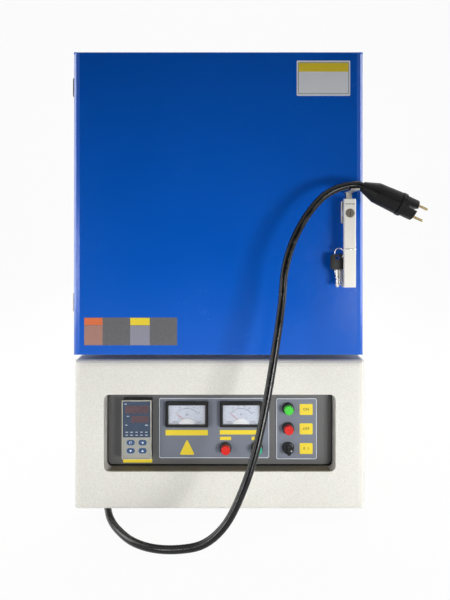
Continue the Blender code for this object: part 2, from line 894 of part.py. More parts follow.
def meters():
    """Two panel meters, each with its case, a needle on its own axis and a glass."""
    front = plate_front - seat_gap - meter_proud
    shelf = front + meter_window_depth
    for name, (x, z) in meter_places().items():
        bezel = rounded(meter_width, meter_height, meter_bezel_corner)
        waist = rounded(meter_body_width, meter_body_height, meter_bezel_corner)
        case = piece(name + "_case", stack("y", (x, z), [
            (rounded(meter_width - 2 * meter_bezel_corner, meter_height - 2 * meter_bezel_corner, meter_bezel_corner / 2),
             front), (bezel, front + meter_bezel_corner), (bezel, plate_front - seat_gap), (waist, plate_front - seat_gap),
            (waist, plate_front + meter_body_depth)]), "black_plastic")
        window = rounded(meter_window_width, meter_window_height, meter_bezel_corner / 2)
        cut(case, "window", stack("y", (x, z), [(window, front - overrun), (window, shelf)]))
        pane = rounded(meter_window_width - 2 * seat_gap, meter_window_height - 2 * seat_gap, meter_bezel_corner / 2)
        piece(name + "_glass", stack("y", (x, z), [(pane, front + seat_gap),
                                                   (pane, front + seat_gap + glass_sheet)]), "glass")
        pivot_z = z - needle_pivot_drop
        carrier = body(name + "_pivot", (x, shelf, pivot_z), furnace)
        hub = turned("y", (x, pivot_z), [(needle_hub_radius, shelf - seat_gap),
                                         (needle_hub_radius, shelf - seat_gap - needle_sheet - needle_sweep_gap)],
                     small_sides)
        arm = slab((0, 0, (needle_length - needle_tail) / 2), (needle_width, needle_sheet, needle_length + needle_tail))
        arm_place = Vector((x, shelf - seat_gap - needle_sweep_gap / 2 - needle_sheet, pivot_z))
        arm = moved(arm, Matrix.Translation(arm_place) @ Matrix.Rotation(-needle_rest_angle, 4, "Y"))
        needle = piece(name + "_needle", arm, "needle_red", carrier)
        join(needle, "hub", hub, carrier)


meters()


def buttons():
    """The caps that slide in the collars, and the knob that turns in one."""
    base = plate_front - seat_gap
    front = base - collar_proud
    shelf = switch_shelf()
    finishes = {"power_on_button": "button_green", "power_off_button": "button_red",
                "heat_stop_button": "button_red", "heat_start_button": "button_teal"}
    cap_front = base - cap_proud
    for name, finish in finishes.items():
        x, z = switch_places()[name]
        carrier = body(name + "_slide", (x, cap_front, z), furnace)
        skirt = shelf - cap_travel - sliding_gap
        piece(name, turned("y", (x, z), [
            (cap_radius - cap_edge, cap_front), (cap_radius, cap_front + cap_edge), (cap_radius, skirt),
            (cap_stem_radius, skirt), (cap_stem_radius, shelf + cap_stem_length - sliding_gap)], small_sides),
              finish, carrier)
    x, z = switch_places()["lock_knob"]
    carrier = body("lock_knob_axis", (x, base, z), furnace)
    tip = base - knob_proud
    waist = front - sliding_gap
    knob = piece("lock_knob", turned("y", (x, z), [
        (knob_waist_radius, tip), (cap_radius, tip + cap_edge), (cap_radius, shelf - sliding_gap),
        (cap_stem_radius, shelf - sliding_gap), (cap_stem_radius, shelf + cap_stem_length - sliding_gap)],
        small_sides), "black_plastic", carrier)
    depth = waist - overrun
    wings = [slab((x + side * (knob_grip_width / 2 + cap_radius), (tip - overrun + depth) / 2, z),
                  (2 * cap_radius, depth - tip + overrun, 3 * cap_radius)) for side in (-1, 1)]
    cut(knob, "grip", together(*wings), carrier)


buttons()


def controller():
    """The temperature controller: a deep case behind a bezel, with four keys in its face."""
    x, z = controller_x, console_mid + controller_z
    front = console_recess - controller_proud
    bezel = rounded(controller_width, controller_height, controller_corner_radius)
    waist = rounded(controller_body_width, controller_body_height, controller_corner_radius)
    case = piece("controller_case", stack("y", (x, z), [
        (bezel, front), (bezel, console_recess - seat_gap), (waist, console_recess - seat_gap),
        (waist, console_recess + controller_body_depth)]), "black_plastic")
    face = rounded(controller_width - 2 * controller_rim, controller_height - 2 * controller_rim,
                   controller_corner_radius / 2)
    floor = front + controller_face_recess
    pits = []
    names = ("cycle_key", "left_key", "down_key", "up_key")
    for number, name in enumerate(names):
        key_x = x + (key_half_spacing if number % 2 else -key_half_spacing)
        key_z = z - key_upper_drop - key_row_spacing * (number // 2)
        oval = rounded(key_width, key_height, key_height / 2 - seat_gap)
        hole = rounded(key_width + 2 * sliding_gap, key_height + 2 * sliding_gap, key_height / 2)
        pits.append(stack("y", (key_x, key_z), [(hole, floor - overrun / 2), (hole, floor + key_depth)]))
        carrier = body("controller_" + name + "_slide", (key_x, floor - key_proud, key_z), furnace)
        piece("controller_" + name, stack("y", (key_x, key_z), [
            (rounded(key_width - key_proud, key_height - key_proud, key_height / 2 - key_proud), floor - key_proud),
            (oval, floor - key_proud / 2), (oval, floor + key_depth - key_travel - seat_gap)]), "key_blue", carrier)
    cut(case, "face", stack("y", (x, z), [(face, front - overrun), (face, floor)]))
    cut(case, "key_pits", together(*pits))


controller()


def fan():
    """A square fan behind the rear panel: frame with struts and motor, and a rotor of tilted blades."""
    back = base_depth - seat_gap
    front = back - fan_depth
    middle = (fan_x, fan_z)
    duct = circle(fan_duct_radius)
    frame = piece("fan_frame", stack("y", middle, [(rounded(fan_width, fan_width, fan_strut_width), front),
                                                    (rounded(fan_width, fan_width, fan_strut_width), back)]),
                  "black_plastic")
    cut(frame, "duct", stack("y", middle, [(duct, front - overrun), (duct, back + overrun)]))
    motor = turned("y", middle, [(fan_hub_radius, front), (fan_hub_radius, front + fan_motor_length)])
    join(frame, "motor", motor)
    for number, turn in enumerate((pi / 4, 3 * pi / 4)):
        strut = slab((0, (front + fan_strut_width / 2), 0),
                     (2 * (fan_duct_radius + fan_strut_width / 2), fan_strut_width, fan_strut_width))
        swing = Matrix.Translation((fan_x, 0, fan_z)) @ Matrix.Rotation(turn, 4, "Y")
        join(frame, "strut_%d" % number, moved(strut, swing))
    hub_front = front + fan_motor_length + turning_gap
    hub_back = back - turning_gap
    carrier = body("fan_axis", (fan_x, hub_front, fan_z), furnace)
    rotor = piece("fan_rotor", turned("y", middle, [
        (fan_hub_radius, hub_front), (fan_hub_radius, hub_back - fan_strut_width),
        (fan_hub_radius - fan_strut_width, hub_back)]), "black_plastic", carrier)
    reach = fan_duct_radius - fan_tip_gap
    root = fan_hub_radius - fan_strut_width / 2
    chord = (hub_back - hub_front - 2 * turning_gap - fan_strut_width) / cos(fan_blade_tilt) * 0.9
    blades = []
    for number in range(fan_blades):
        blade = slab((0, 0, (root + reach) / 2), (fan_blade_sheet, chord, reach - root))
        tilt = Matrix.Rotation(fan_blade_tilt, 4, "Z")
        turn = Matrix.Rotation(2 * pi * number / fan_blades, 4, "Y")
        centre = Matrix.Translation((fan_x, (hub_front + hub_back - fan_strut_width) / 2, fan_z))
        blades.append(moved(blade, centre @ turn @ tilt))
    join(rotor, "blades", together(*blades), carrier)
    trim = turned("y", middle, [(2 * reach, hub_front - fan_depth), (2 * reach, hub_back + fan_depth),
                                (reach, hub_back + fan_depth), (reach, hub_front - fan_depth)], closed=True)
    cut(rotor, "tips", trim, carrier)


fan()


def transformer():
    """A shell-type transformer: a laminated core with two windows and a coil round its middle limb."""
    low = floor_top + seat_gap
    core_low = low + core_foot_height
    window_high = core_low + core_height - core_limb
    outline = [(core_x - core_width / 2, core_low), (core_x + core_width / 2, core_low),
               (core_x + core_width / 2, core_low + core_height), (core_x - core_width / 2, core_low + core_height)]
    near, far = core_y - core_stack / 2, core_y + core_stack / 2
    core = piece("transformer_core", prism("y", outline, near, far), "dark_metal")
    window = core_width / 2 - 2 * core_limb
    middles = [core_x + side * (core_limb + window / 2) for side in (-1, 1)]
    holes = [slab((x, core_y, (core_low + core_limb + window_high) / 2),
                  (window, core_stack + 2 * overrun, window_high - core_low - core_limb)) for x in middles]
    cut(core, "windows", together(*holes))
    rails = [block((core_x + side * (core_width - core_foot_width) / 2 - core_foot_width / 2, near - core_foot_width / 2, low),
                   (core_x + side * (core_width - core_foot_width) / 2 + core_foot_width / 2, far + core_foot_width / 2,
                    core_low + overrun)) for side in (-1, 1)]
    join(core, "feet", together(*rails))
    inner_w, inner_d = 2 * core_limb + 2 * coil_gap, core_stack + 2 * coil_gap
    build = (window - 2 * coil_gap) * coil_stack_share
    outer = rounded(inner_w + 2 * build, inner_d + 2 * build, build * 0.7)
    inner = rounded(inner_w, inner_d, coil_gap)
    coil_low = core_low + core_limb + seat_gap
    coil_high = window_high - seat_gap
    piece("transformer_coil", stack("z", (core_x, core_y), [(outer, coil_low), (outer, coil_high),
                                                            (inner, coil_high), (inner, coil_low)], closed=True), "copper")


transformer()


def power_board():
    """A mounting plate with a heat sink and its thyristor module, a contactor and a row of terminals."""
    low = floor_top + seat_gap
    top = low + floor_sheet
    root = low + floor_sheet / 2
    left = board_x - board_width / 2
    board = piece("power_board", block((left, board_y, low), (left + board_width, board_y + board_depth, top)),
                  "galvanised", smooth=False)
    pitch = sink_width / (sink_fins - sink_fin_share)
    far = board_y + board_depth
    base_y = far - sink_depth * (1 - sink_root_share)
    comb = [(board_x - sink_width / 2, far - sink_depth), (board_x + sink_width / 2, far - sink_depth)]
    for number in reversed(range(sink_fins)):
        start = board_x - sink_width / 2 + number * pitch
        end = min(start + pitch * sink_fin_share, board_x + sink_width / 2)
        comb += [(end, far), (start, far)]
        if number:
            comb += [(start, base_y), (start - pitch * (1 - sink_fin_share), base_y)]
    join(board, "sink", prism("z", comb, root, root + sink_height))
    middle_y = far - sink_depth - thyristor_depth / 2
    module = slab((board_x, middle_y + seat_gap, root + thyristor_height / 2),
                  (thyristor_width, thyristor_depth, thyristor_height))
    join(board, "module", module)
    near = board_y + contactor_depth / 2 + seat_gap
    join(board, "contactor", slab((left + contactor_width / 2 + seat_gap, near, root + contactor_height / 2),
                                  (contactor_width, contactor_depth, contactor_height)))
    start = left + contactor_width + terminal_pitch
    length = terminal_count * terminal_pitch
    half = terminal_depth / 2
    shape = [(-half, 0), (half, 0), (half, terminal_height / 2), (half / 2, terminal_height),
             (-half / 2, terminal_height), (-half, terminal_height / 2)]
    row = prism("x", [(near + u, root + v) for u, v in shape], start, start + length)
    join(board, "terminals", row)
    gaps = [slab((start + number * terminal_pitch, near, root + terminal_height),
                 (seat_gap * 2, 2 * terminal_depth, terminal_height)) for number in range(1, terminal_count)]
    cut(board, "terminal_gaps", together(*gaps))


power_board()


def upper_shell():
    """The upper cabinet's wrap: floor and two sides, with vent slots."""
    low = (-base_half, body_front, shell_low)
    high = (base_half, base_depth, cover_low - seat_gap)
    rounds = {"bottom left": panel_sheet, "bottom right": panel_sheet}
    shell = folded("upper_shell", low, high, rounds, "pale_paint", wall=panel_sheet,
                   open_sides=("front", "back", "top"))
    middle_y = (body_front + base_depth) / 2
    column_pitch = (base_depth - body_front) / (side_slot_columns + 1)
    for name, z in (("low_vents", shell_low + side_slot_rise + side_slot_rows * slot_pitch / 2),
                    ("high_vents", cover_low - side_slot_rise - side_slot_rows * slot_pitch / 2)):
        cut(shell, name, slots("x", (middle_y, z), side_slot_length, side_slot_rows, side_slot_columns, slot_pitch,
                               column_pitch, -base_half - overrun, base_half + overrun))
    hole = turned("z", (0, lead_hole_y), [(lead_hole_radius, shell_low - overrun),
                                          (lead_hole_radius, shell_floor + overrun)], small_sides)
    cut(shell, "lead_hole", hole)


upper_shell()


def top_cover():
    low = (-base_half, body_front, cover_low)
    high = (base_half, base_depth, door_top)
    rounds = {"top left": cover_edge_radius, "top right": cover_edge_radius, "top front": cover_edge_radius,
              "top back": cover_edge_radius}
    cover = folded("top_cover", low, high, rounds, "pale_paint", wall=panel_sheet, open_sides=("bottom",))
    cut(cover, "vents", slots("z", (0, (boards_front + boards_back) / 2), cover_slot_length, cover_slot_rows, 2,
                              2 * slot_pitch, cover_slot_length + 2 * slot_pitch, door_top - panel_sheet - overrun,
                              door_top + overrun))


top_cover()


def upper_back_panel():
    inset = panel_sheet + seat_gap
    low = (-base_half + inset, base_depth - panel_sheet, shell_floor + seat_gap)
    high = (base_half - inset, base_depth, cover_low - seat_gap)
    panel = piece("upper_back_panel", block(low, high), "pale_paint")
    near, far = low[1] - overrun, high[1] + overrun
    shapes = [slots("y", (0, z), back_slot_length, back_slot_rows, 2, slot_pitch, 2 * back_slot_length, near, far)
              for z in (low[2] + 2 * side_slot_rise, high[2] - 2 * side_slot_rise)]
    cut(panel, "vents", together(*shapes))


upper_back_panel()


def mouth_frame():
    """The cabinet's front frame round the chamber's mouth, folded back along its edges."""
    inset = panel_sheet + seat_gap
    low = (-base_half + inset, body_front, shell_floor + seat_gap)
    high = (base_half - inset, body_front + frame_depth, cover_low - seat_gap)
    rounds = {"left front": panel_sheet, "right front": panel_sheet}
    frame = folded("mouth_frame", low, high, rounds, "steel", wall=panel_sheet, open_sides=("back",))
    half = chamber_half + mouth_step
    mouth = rounded(2 * half, chamber_height + 2 * mouth_step, cover_edge_radius)
    cut(frame, "mouth", stack("y", (0, chamber_mid), [(mouth, body_front - overrun), (mouth, frame_back + overrun)]))
    half = cam_width / 2 + lock_slot_gap + strike_margin
    strike = block((lever_x - half, frame_back - panel_sheet / 2, lever_pivot_z - 2 * cam_length),
                   (lever_x + half, frame_back + strike_sheet, lever_pivot_z + cam_length))
    join(frame, "strike", strike)
    cut(frame, "lock_slot", lock_slot(body_front - overrun, frame_back + strike_sheet + overrun))


def lock_slot(near, far):
    """The slot that the latch cam passes when the door shuts."""
    half = cam_width / 2 + lock_slot_gap
    low = lever_pivot_z - cam_length - lock_slot_gap
    high = lever_pivot_z + half
    return block((lever_x - half, near, low), (lever_x + half, far, high))


mouth_frame()


def insulation():
    """The casing and its fibre boards, stepped at the mouth for the door's plug."""
    outer = boards_half + seat_gap + casing_sheet
    back = boards_back + seat_gap + casing_sheet
    casing = folded("inner_casing", (-outer, boards_front, casing_low), (outer, back, roof_top),
                    {"bottom left": casing_sheet, "bottom right": casing_sheet}, "galvanised", wall=casing_sheet,
                    open_sides=("front", "top"))
    for number, side in enumerate((-1, 1)):
        x = side * (boards_half - casing_rail_inset)
        rail = block((x - casing_rail_width / 2, body_front + frame_depth + overrun, shell_floor + seat_gap),
                     (x + casing_rail_width / 2, back, casing_low + casing_sheet / 2))
        join(casing, "rail_%d" % number, rail)
    bore = sheath_radius + seat_gap
    sheath_z = chamber_high - thermocouple_rise
    hole = turned("y", (0, sheath_z), [(bore, chamber_back - overrun), (bore, back + overrun)], small_sides)
    cut(casing, "sheath_hole", hole)
    boards = {
        "insulation_floor": ((-boards_half, boards_front, boards_low),
                             (boards_half, boards_back, boards_low + floor_board)),
        "insulation_left": ((-boards_half, boards_front, chamber_low), (-chamber_half, boards_back, chamber_high)),
        "insulation_right": ((chamber_half, boards_front, chamber_low), (boards_half, boards_back, chamber_high)),
        "insulation_back": ((-chamber_half + seat_gap, chamber_back, chamber_low),
                            (chamber_half - seat_gap, boards_back, chamber_high)),
        "insulation_roof": ((-boards_half, boards_front, roof_low), (boards_half, boards_back, roof_top))}
    step = chamber_half + mouth_step
    for name, (low, high) in boards.items():
        board = piece(name, block(low, high), "fibre_white", smooth=False)
        if name != "insulation_back":
            cut(board, "mouth_step", block((-step, boards_front - overrun, chamber_low - mouth_step),
                                           (step, boards_front + mouth_step_depth, chamber_high + mouth_step)))
        if name == "insulation_back":
            bore_cut = turned("y", (0, sheath_z), [(bore, chamber_back - overrun), (bore, back + overrun)], small_sides)
            cut(board, "sheath_hole", bore_cut)
        if name == "insulation_roof":
            join(board, "holders", holder_blocks())
            cut(board, "element_holes", roof_holes())
    hearth = folded("hearth_plate", (-hearth_width / 2, chamber_back - hearth_depth - overrun, hearth_low),
                    (hearth_width / 2, chamber_back - overrun, hearth_top),
                    {"top front": hearth_edge, "top back": hearth_edge, "top left": hearth_edge,
                     "top right": hearth_edge}, "hearth_cream")
    return hearth


def element_places():
    """The middle of each element: two by each side wall of the chamber."""
    x = chamber_half - element_wall_gap
    start = chamber_back - chamber_depth
    return [(side * x, start + share * chamber_depth) for side in (-1, 1)
            for share in (element_front_share, element_back_share)]


def leg_places():
    return [(x, y + side * element_legs / 2) for x, y in element_places() for side in (-1, 1)]


def holder_blocks():
    """Round-ended ceramic blocks on the roof board, one for each element's two legs."""
    low, high = roof_top - holder_recess, roof_top + holder_height - holder_recess
    outline = rounded(holder_width, holder_length, holder_width / 2, 3)
    top = rounded(holder_width - 2 * hearth_edge, holder_length - 2 * hearth_edge, holder_width / 2 - hearth_edge, 3)
    return together(*[stack("z", place, [(outline, low), (outline, high - hearth_edge), (top, high)])
                      for place in element_places()])


def roof_holes():
    bore = cold_radius + element_hole_gap
    return together(*[turned("z", place, [(bore, roof_low - overrun), (bore, roof_top + holder_height + overrun)],
                             rod_sides) for place in leg_places()])


insulation()


def hairpin(x, y, top):
    """One element: a rod bent to a U in a plane along Y, with thick cold ends and a thin hot loop."""
    cold_low = chamber_high - cold_reach
    bend = element_legs / 2
    turn_z = hearth_top + element_floor_gap + bend
    down = [(y - bend, z) for z in (top, cold_low, cold_low - element_taper)]
    loop = [(y - bend * cos(pi * i / 8), turn_z - bend * sin(pi * i / 8)) for i in range(9)]
    up = [(y + bend, z) for z in (cold_low - element_taper, cold_low, top)]
    path = [Vector((x, v, z)) for v, z in down + loop + up]
    ends = [cold_radius, cold_radius, hot_radius]
    widths = ends + [hot_radius] * len(loop) + ends[::-1]
    side = Vector((1, 0, 0))
    rings = []
    for i, (point, width) in enumerate(zip(path, widths)):
        along = (path[min(i + 1, len(path) - 1)] - path[max(i - 1, 0)]).normalized()
        across = side.cross(along)
        rings.append([point + across * u + side * v for u, v in circle(width, rod_sides)])
    return loft(rings)


def elements():
    """Two pairs of hairpin elements, each pair joined by a braid, and a braid across to the other pair."""
    low = roof_top + holder_height - holder_recess + seat_gap
    high = low + clamp_height
    far_low = high + seat_gap
    far_high = far_low + clamp_height / 2
    top = far_high + clamp_top_gap
    places = element_places()
    for name, pair in (("left_elements", places[:2]), ("right_elements", places[2:])):
        legs = [(x, y + side * element_legs / 2) for x, y in pair for side in (-1, 1)]
        item = piece(name, hairpin(*pair[0], top), "element_grey")
        braid = moved(arch(legs[1][1], legs[2][1], high - strap_sheet / 2), Matrix.Translation((legs[1][0], 0, 0)))
        join(item, "second", hairpin(*pair[1], top))
        join(item, "clamps", together(*[clamp(place, low, high) for place in legs]))
        join(item, "braid", braid)
        if name == "right_elements":
            left_leg = (-legs[3][0], legs[3][1])
            across = moved(arch(left_leg[0], legs[3][0], far_low + strap_sheet),
                           Matrix.Translation((0, legs[3][1], 0)) @ Matrix.Rotation(-pi / 2, 4, "Z"))
            join(item, "cross_braid", across)
            join(item, "cross_clamps", together(clamp(left_leg, far_low, far_high), clamp(legs[3], low, far_high)))
            bore = cold_radius + seat_gap
            cut(item, "eye", turned("z", left_leg, [(bore, low - overrun), (bore, far_high + 2 * strap_arch)],
                                    small_sides))


def clamp(place, low, high):
    half = clamp_width / 2
    return block((place[0] - half, place[1] - half, low), (place[0] + half, place[1] + half, high))


def arch(start, end, base):
    """A flat braid along Y that rises between two clamps."""
    steps = 6
    upper, lower = [], []
    for i in range(steps + 1):
        share = i / steps
        rise = strap_arch * sin(pi * share)
        y = start + (end - start) * share
        lower.append((y, base + rise))
        upper.append((y, base + strap_sheet + rise))
    return prism("x", lower + upper[::-1], -strap_width / 2, strap_width / 2)


elements()


def thermocouple():
    """A sheathed thermocouple through the back board, with its head behind the casing."""
    z = chamber_high - thermocouple_rise
    seat = boards_back + 2 * seat_gap + casing_sheet
    tip = chamber_back - sheath_reach
    piece("thermocouple", turned("y", (0, z), [
        (sheath_radius / 2, tip), (sheath_radius, tip + sheath_radius / 2), (sheath_radius, seat),
        (head_collar_radius, seat), (head_collar_radius, seat + head_collar_length),
        (head_radius, seat + head_collar_length), (head_radius, seat + head_collar_length + head_length)],
        small_sides), "dark_metal")


thermocouple()


def door():
    """The door: a folded blue skin, a liner that closes it, and the fibre plug they hold."""
    low = (door_left, 0, door_low)
    high = (door_right, door_depth, door_top)
    rounds = {"left front": door_side_radius, "right front": door_side_radius, "top front": door_fold_radius,
              "bottom front": door_fold_radius, "top left": door_fold_radius, "top right": door_fold_radius,
              "bottom left": door_fold_radius, "bottom right": door_fold_radius}
    skin = folded("door_skin", low, high, rounds, "blue_paint", door_body, panel_sheet, ("back",))
    bore = lock_barrel_radius + seat_gap
    pivot = (lever_x, lever_pivot_z)
    cut(skin, "lock_hole", turned("y", pivot, [(bore, -overrun), (bore, panel_sheet + overrun)]), door_body)
    inset = panel_sheet + seat_gap
    corner = door_fold_radius
    liner_low = (low[0] + inset, liner_front, low[2] + inset)
    liner_high = (high[0] - inset, liner_back, high[2] - inset)
    liner = folded("door_liner", liner_low, liner_high, {"top left": corner, "top right": corner,
                                                         "bottom left": corner, "bottom right": corner},
                   "galvanised", door_body)
    root = chamber_half + mouth_step - plug_root_gap
    nose = chamber_half - plug_nose_gap
    hole = rounded(2 * (root + seat_gap), 2 * (root + seat_gap), cover_edge_radius / 2)
    cut(liner, "plug_hole", stack("y", (0, chamber_mid), [(hole, liner_front - overrun), (hole, liner_back + overrun)]),
        door_body)
    cut(liner, "lock_hole", turned("y", pivot, [(bore, liner_front - overrun), (bore, liner_back + overrun)]), door_body)
    wide = rounded(plug_block_width, plug_block_width, cover_edge_radius)
    steps = [(wide, panel_sheet + seat_gap), (wide, liner_front - seat_gap)]
    root_end = boards_front + mouth_step_depth - plug_root_gap
    nose_end = root_end + plug_nose_reach
    for half, near, far in ((root, liner_front - seat_gap, root_end), (nose, root_end, nose_end)):
        steps.append((rounded(2 * half, 2 * half, cover_edge_radius / 2), near))
        steps.append((rounded(2 * (half - plug_taper), 2 * (half - plug_taper), cover_edge_radius / 2), far))
    piece("door_insulation", stack("y", (0, chamber_mid), steps), "fibre_white", door_body, smooth=False)


door()


def hinge_outline(leaf_x, leaf_end):
    """A barrel round the hinge's axis with a flat leaf that runs off it along Y."""
    inner = leaf_x
    outer = leaf_x - hinge_leaf
    side = 1 if leaf_end > hinge_y else -1
    start, finish = (atan2(x - hinge_x, sqrt(max(0, hinge_radius ** 2 - (x - hinge_x) ** 2))) for x in (inner, outer))
    sweep = 2 * pi - (start - finish)
    points = []
    for i in range(small_sides + 1):
        turn = start + sweep * i / small_sides
        points.append((hinge_x + hinge_radius * sin(turn), hinge_y + side * hinge_radius * cos(turn)))
    return [(inner, leaf_end)] + points + [(outer, leaf_end)]


def hinges():
    """Two lift-off hinges: pinned halves on the cabinet, bored halves on the door's side."""
    shut = base_half + seat_gap
    for level, share in (("low", hinge_low_share), ("high", hinge_high_share)):
        z = door_low + share * door_height
        axis = (hinge_x, hinge_y)
        pinned = piece(level + "_hinge_pin_half", prism("z", hinge_outline(-shut, hinge_y + hinge_leaf_length),
                                                        z - hinge_half_height, z), "steel")
        join(pinned, "pin", turned("z", axis, [
            (hinge_pin_radius, z - overrun), (hinge_pin_radius, z + hinge_pin_height - hinge_pin_radius / 3),
            (hinge_pin_radius / 2, z + hinge_pin_height)], small_sides))
        bored = piece(level + "_hinge_door_half", prism("z", hinge_outline(door_left - seat_gap,
                                                                           hinge_y - hinge_leaf_length),
                                                        z + seat_gap, z + hinge_half_height), "steel", door_body)
        bore = hinge_pin_radius + sliding_gap
        cut(bored, "bore", turned("z", axis, [(bore, z - overrun), (bore, z + hinge_pin_height + turning_gap)],
                                  small_sides), door_body)


hinges()


def lock():
    """Rose with its cord hook, lever with spindle, key cylinder, latch cam and strike."""
    pivot = (lever_x, lever_pivot_z)
    rose_front = seat_gap + rose_sheet
    foot = rounded(rose_width, rose_height, hook_sheet, 2)
    face = rounded(rose_width - hook_sheet, rose_height - hook_sheet, hook_sheet / 2, 2)
    base_middle = (lever_x, lever_pivot_z + rose_rise - rose_height / 2)
    base = piece("lock_base", stack("y", base_middle, [
        (face, -rose_front), (foot, -rose_front + hook_sheet / 2), (foot, -seat_gap)]), "zinc_grey", door_body)
    join(base, "barrel", turned("y", pivot, [(lock_barrel_radius, -seat_gap - hook_sheet),
                                             (lock_barrel_radius, liner_back - overrun)]), door_body)
    lug_x = lever_x + lug_shift
    half = lug_width / 2
    top = hook_floor
    lug_low = lever_pivot_z + boss_radius
    lug_face = -rose_front + hook_sheet / 2
    join(base, "lug", block((lug_x - half, lug_face, lug_low), (lug_x + half, -seat_gap, top - hook_sheet / 2)), door_body)
    hook = [(-seat_gap, top - hook_sheet), (-seat_gap, top), (-hook_reach, top), (-hook_reach, top + hook_lip),
            (-hook_reach - hook_sheet, top + hook_lip), (-hook_reach - hook_sheet, top - hook_sheet)]
    hook_x = lever_x + hook_shift
    join(base, "hook", prism("x", hook, hook_x - hook_width / 2, hook_x + hook_width / 2), door_body)
    bore = spindle_radius + turning_gap
    cut(base, "spindle_bore", turned("y", pivot, [(bore, -rose_front - overrun), (bore, liner_back)]), door_body)
    top_z = lever_pivot_z + lever_top_above_pivot
    chamfered = lever_width - 2 * lever_chamfer
    middle = (lever_x, top_z - lever_length / 2)
    lever = piece("lock_lever", stack("y", middle, [
        (rounded(chamfered, lever_length - 2 * lever_chamfer, lever_chamfer / 2, 1), -lever_front),
        (rounded(lever_width, lever_length, lever_chamfer / 2, 1), -lever_front + lever_chamfer),
        (rounded(lever_width, lever_length, lever_chamfer / 2, 1), -lever_back)]), "zinc_grey", lever_body)
    cam_front = frame_back + strike_sheet + cam_back_gap
    shoulder = cam_front - seat_gap
    cam_back = cam_front + cam_sheet
    spindle = turned("y", pivot, [
        (boss_radius, -lever_back - overrun), (boss_radius, -rose_front - turning_gap),
        (spindle_radius, -rose_front - turning_gap), (spindle_radius, shoulder), (spindle_tip_radius, shoulder),
        (spindle_tip_radius, cam_back + overrun)])
    join(lever, "spindle", spindle, lever_body)
    well = cylinder_radius + turning_gap / 2
    cut(lever, "cylinder_well", turned("y", pivot, [(well, -lever_front - overrun), (well, cylinder_depth - lever_front)]),
        lever_body)
    cylinder = piece("lock_cylinder", turned("y", pivot, [
        (cylinder_radius - lever_chamfer / 2, -lever_front - lever_chamfer / 2), (cylinder_radius, -lever_front),
        (cylinder_radius, -lever_front + cylinder_depth - seat_gap)]), "dark_metal", cylinder_body)
    cut(cylinder, "keyway", slab((lever_x, -lever_front, lever_pivot_z), (keyway_width, 2 * keyway_depth, keyway_height)),
        cylinder_body)
    eye = circle(cam_width / 2, small_sides)
    cam = piece("lock_cam", stack("y", pivot, [(eye, cam_front), (eye, cam_back)]), "steel", lever_body)
    arm = block((lever_x - cam_width / 2, cam_front, lever_pivot_z - cam_length),
                (lever_x + cam_width / 2, cam_back, lever_pivot_z))
    join(cam, "arm", arm, lever_body)
    eye_bore = spindle_tip_radius + seat_gap
    cut(cam, "eye", turned("y", pivot, [(eye_bore, cam_front - overrun), (eye_bore, cam_back + overrun)]), lever_body)


lock()


def keys():
    """A key ring round the lever, and two keys that hang from it on a small link."""
    piece("key_ring", ring_of_wire(ring_centre, ring_radius, ring_wire, (1, 0, 0), (0, 1, 0)), "steel", lever_body)
    across = Vector((cos(link_turn), -sin(link_turn), 0))
    top = hang_point.z + ring_wire + link_hang_gap + link_wire
    link_centre = Vector((hang_point.x, hang_point.y, top - link_radius))
    link = ring_of_wire(link_centre, link_radius, link_wire, across, (0, 0, 1))
    sheet_step = key_head_sheet + key_head_gap
    half_stack = key_head_sheet + key_head_gap / 2
    rise = link_radius - sqrt(link_radius ** 2 - (half_stack / sin(link_turn)) ** 2)
    slot_top = link_centre.z - link_radius + rise + link_wire / 2
    head_top = slot_top - key_slot_height / 2 + key_slot_drop
    head_z = head_top - key_head_height / 2
    shapes, blades, holes = [], [], []
    key_x = hang_point.x - key_lean
    for side in (-1, 1):
        y = hang_point.y + side * sheet_step / 2
        near, far = y - key_head_sheet / 2, y + key_head_sheet / 2
        head = rounded(key_head_width, key_head_height, key_head_corner, 2)
        shapes.append(stack("y", (key_x, head_z), [(head, near), (head, far)]))
        blades.append(prism("y", key_blade_outline(key_x, head_top - key_head_height), y - key_blade_sheet / 2,
                            y + key_blade_sheet / 2))
        slot = rounded(key_slot_width, key_slot_height, key_slot_height / 4, 1)
        holes.append(stack("y", (key_x, slot_top - key_slot_height / 2), [(slot, near - key_head_gap / 4),
                                                                                (slot, far + key_head_gap / 4)]))
    item = piece("keys", together(*shapes), "dark_metal", keys_body)
    join(item, "blades", together(*blades), keys_body)
    cut(item, "slots", together(*holes), keys_body)
    join(item, "link", link, keys_body)


def key_blade_outline(x, top):
    """A blade with a toothed edge, a straight back and a pointed tip."""
    half = key_blade_width / 2
    tip = top - key_blade_length
    root = top + key_head_corner
    points = [(x + half, root), (x + half, tip + half), (x, tip), (x - half / 2, tip + half / 2)]
    pitch = (key_blade_length - half) / (len(key_bite_shares) + 1)
    for number, share in enumerate(reversed(key_bite_shares)):
        points.append((x - half + share * key_blade_bite, tip + half + number * pitch))
    return points + [(x - half, top - pitch), (x - half, root)]


keys()


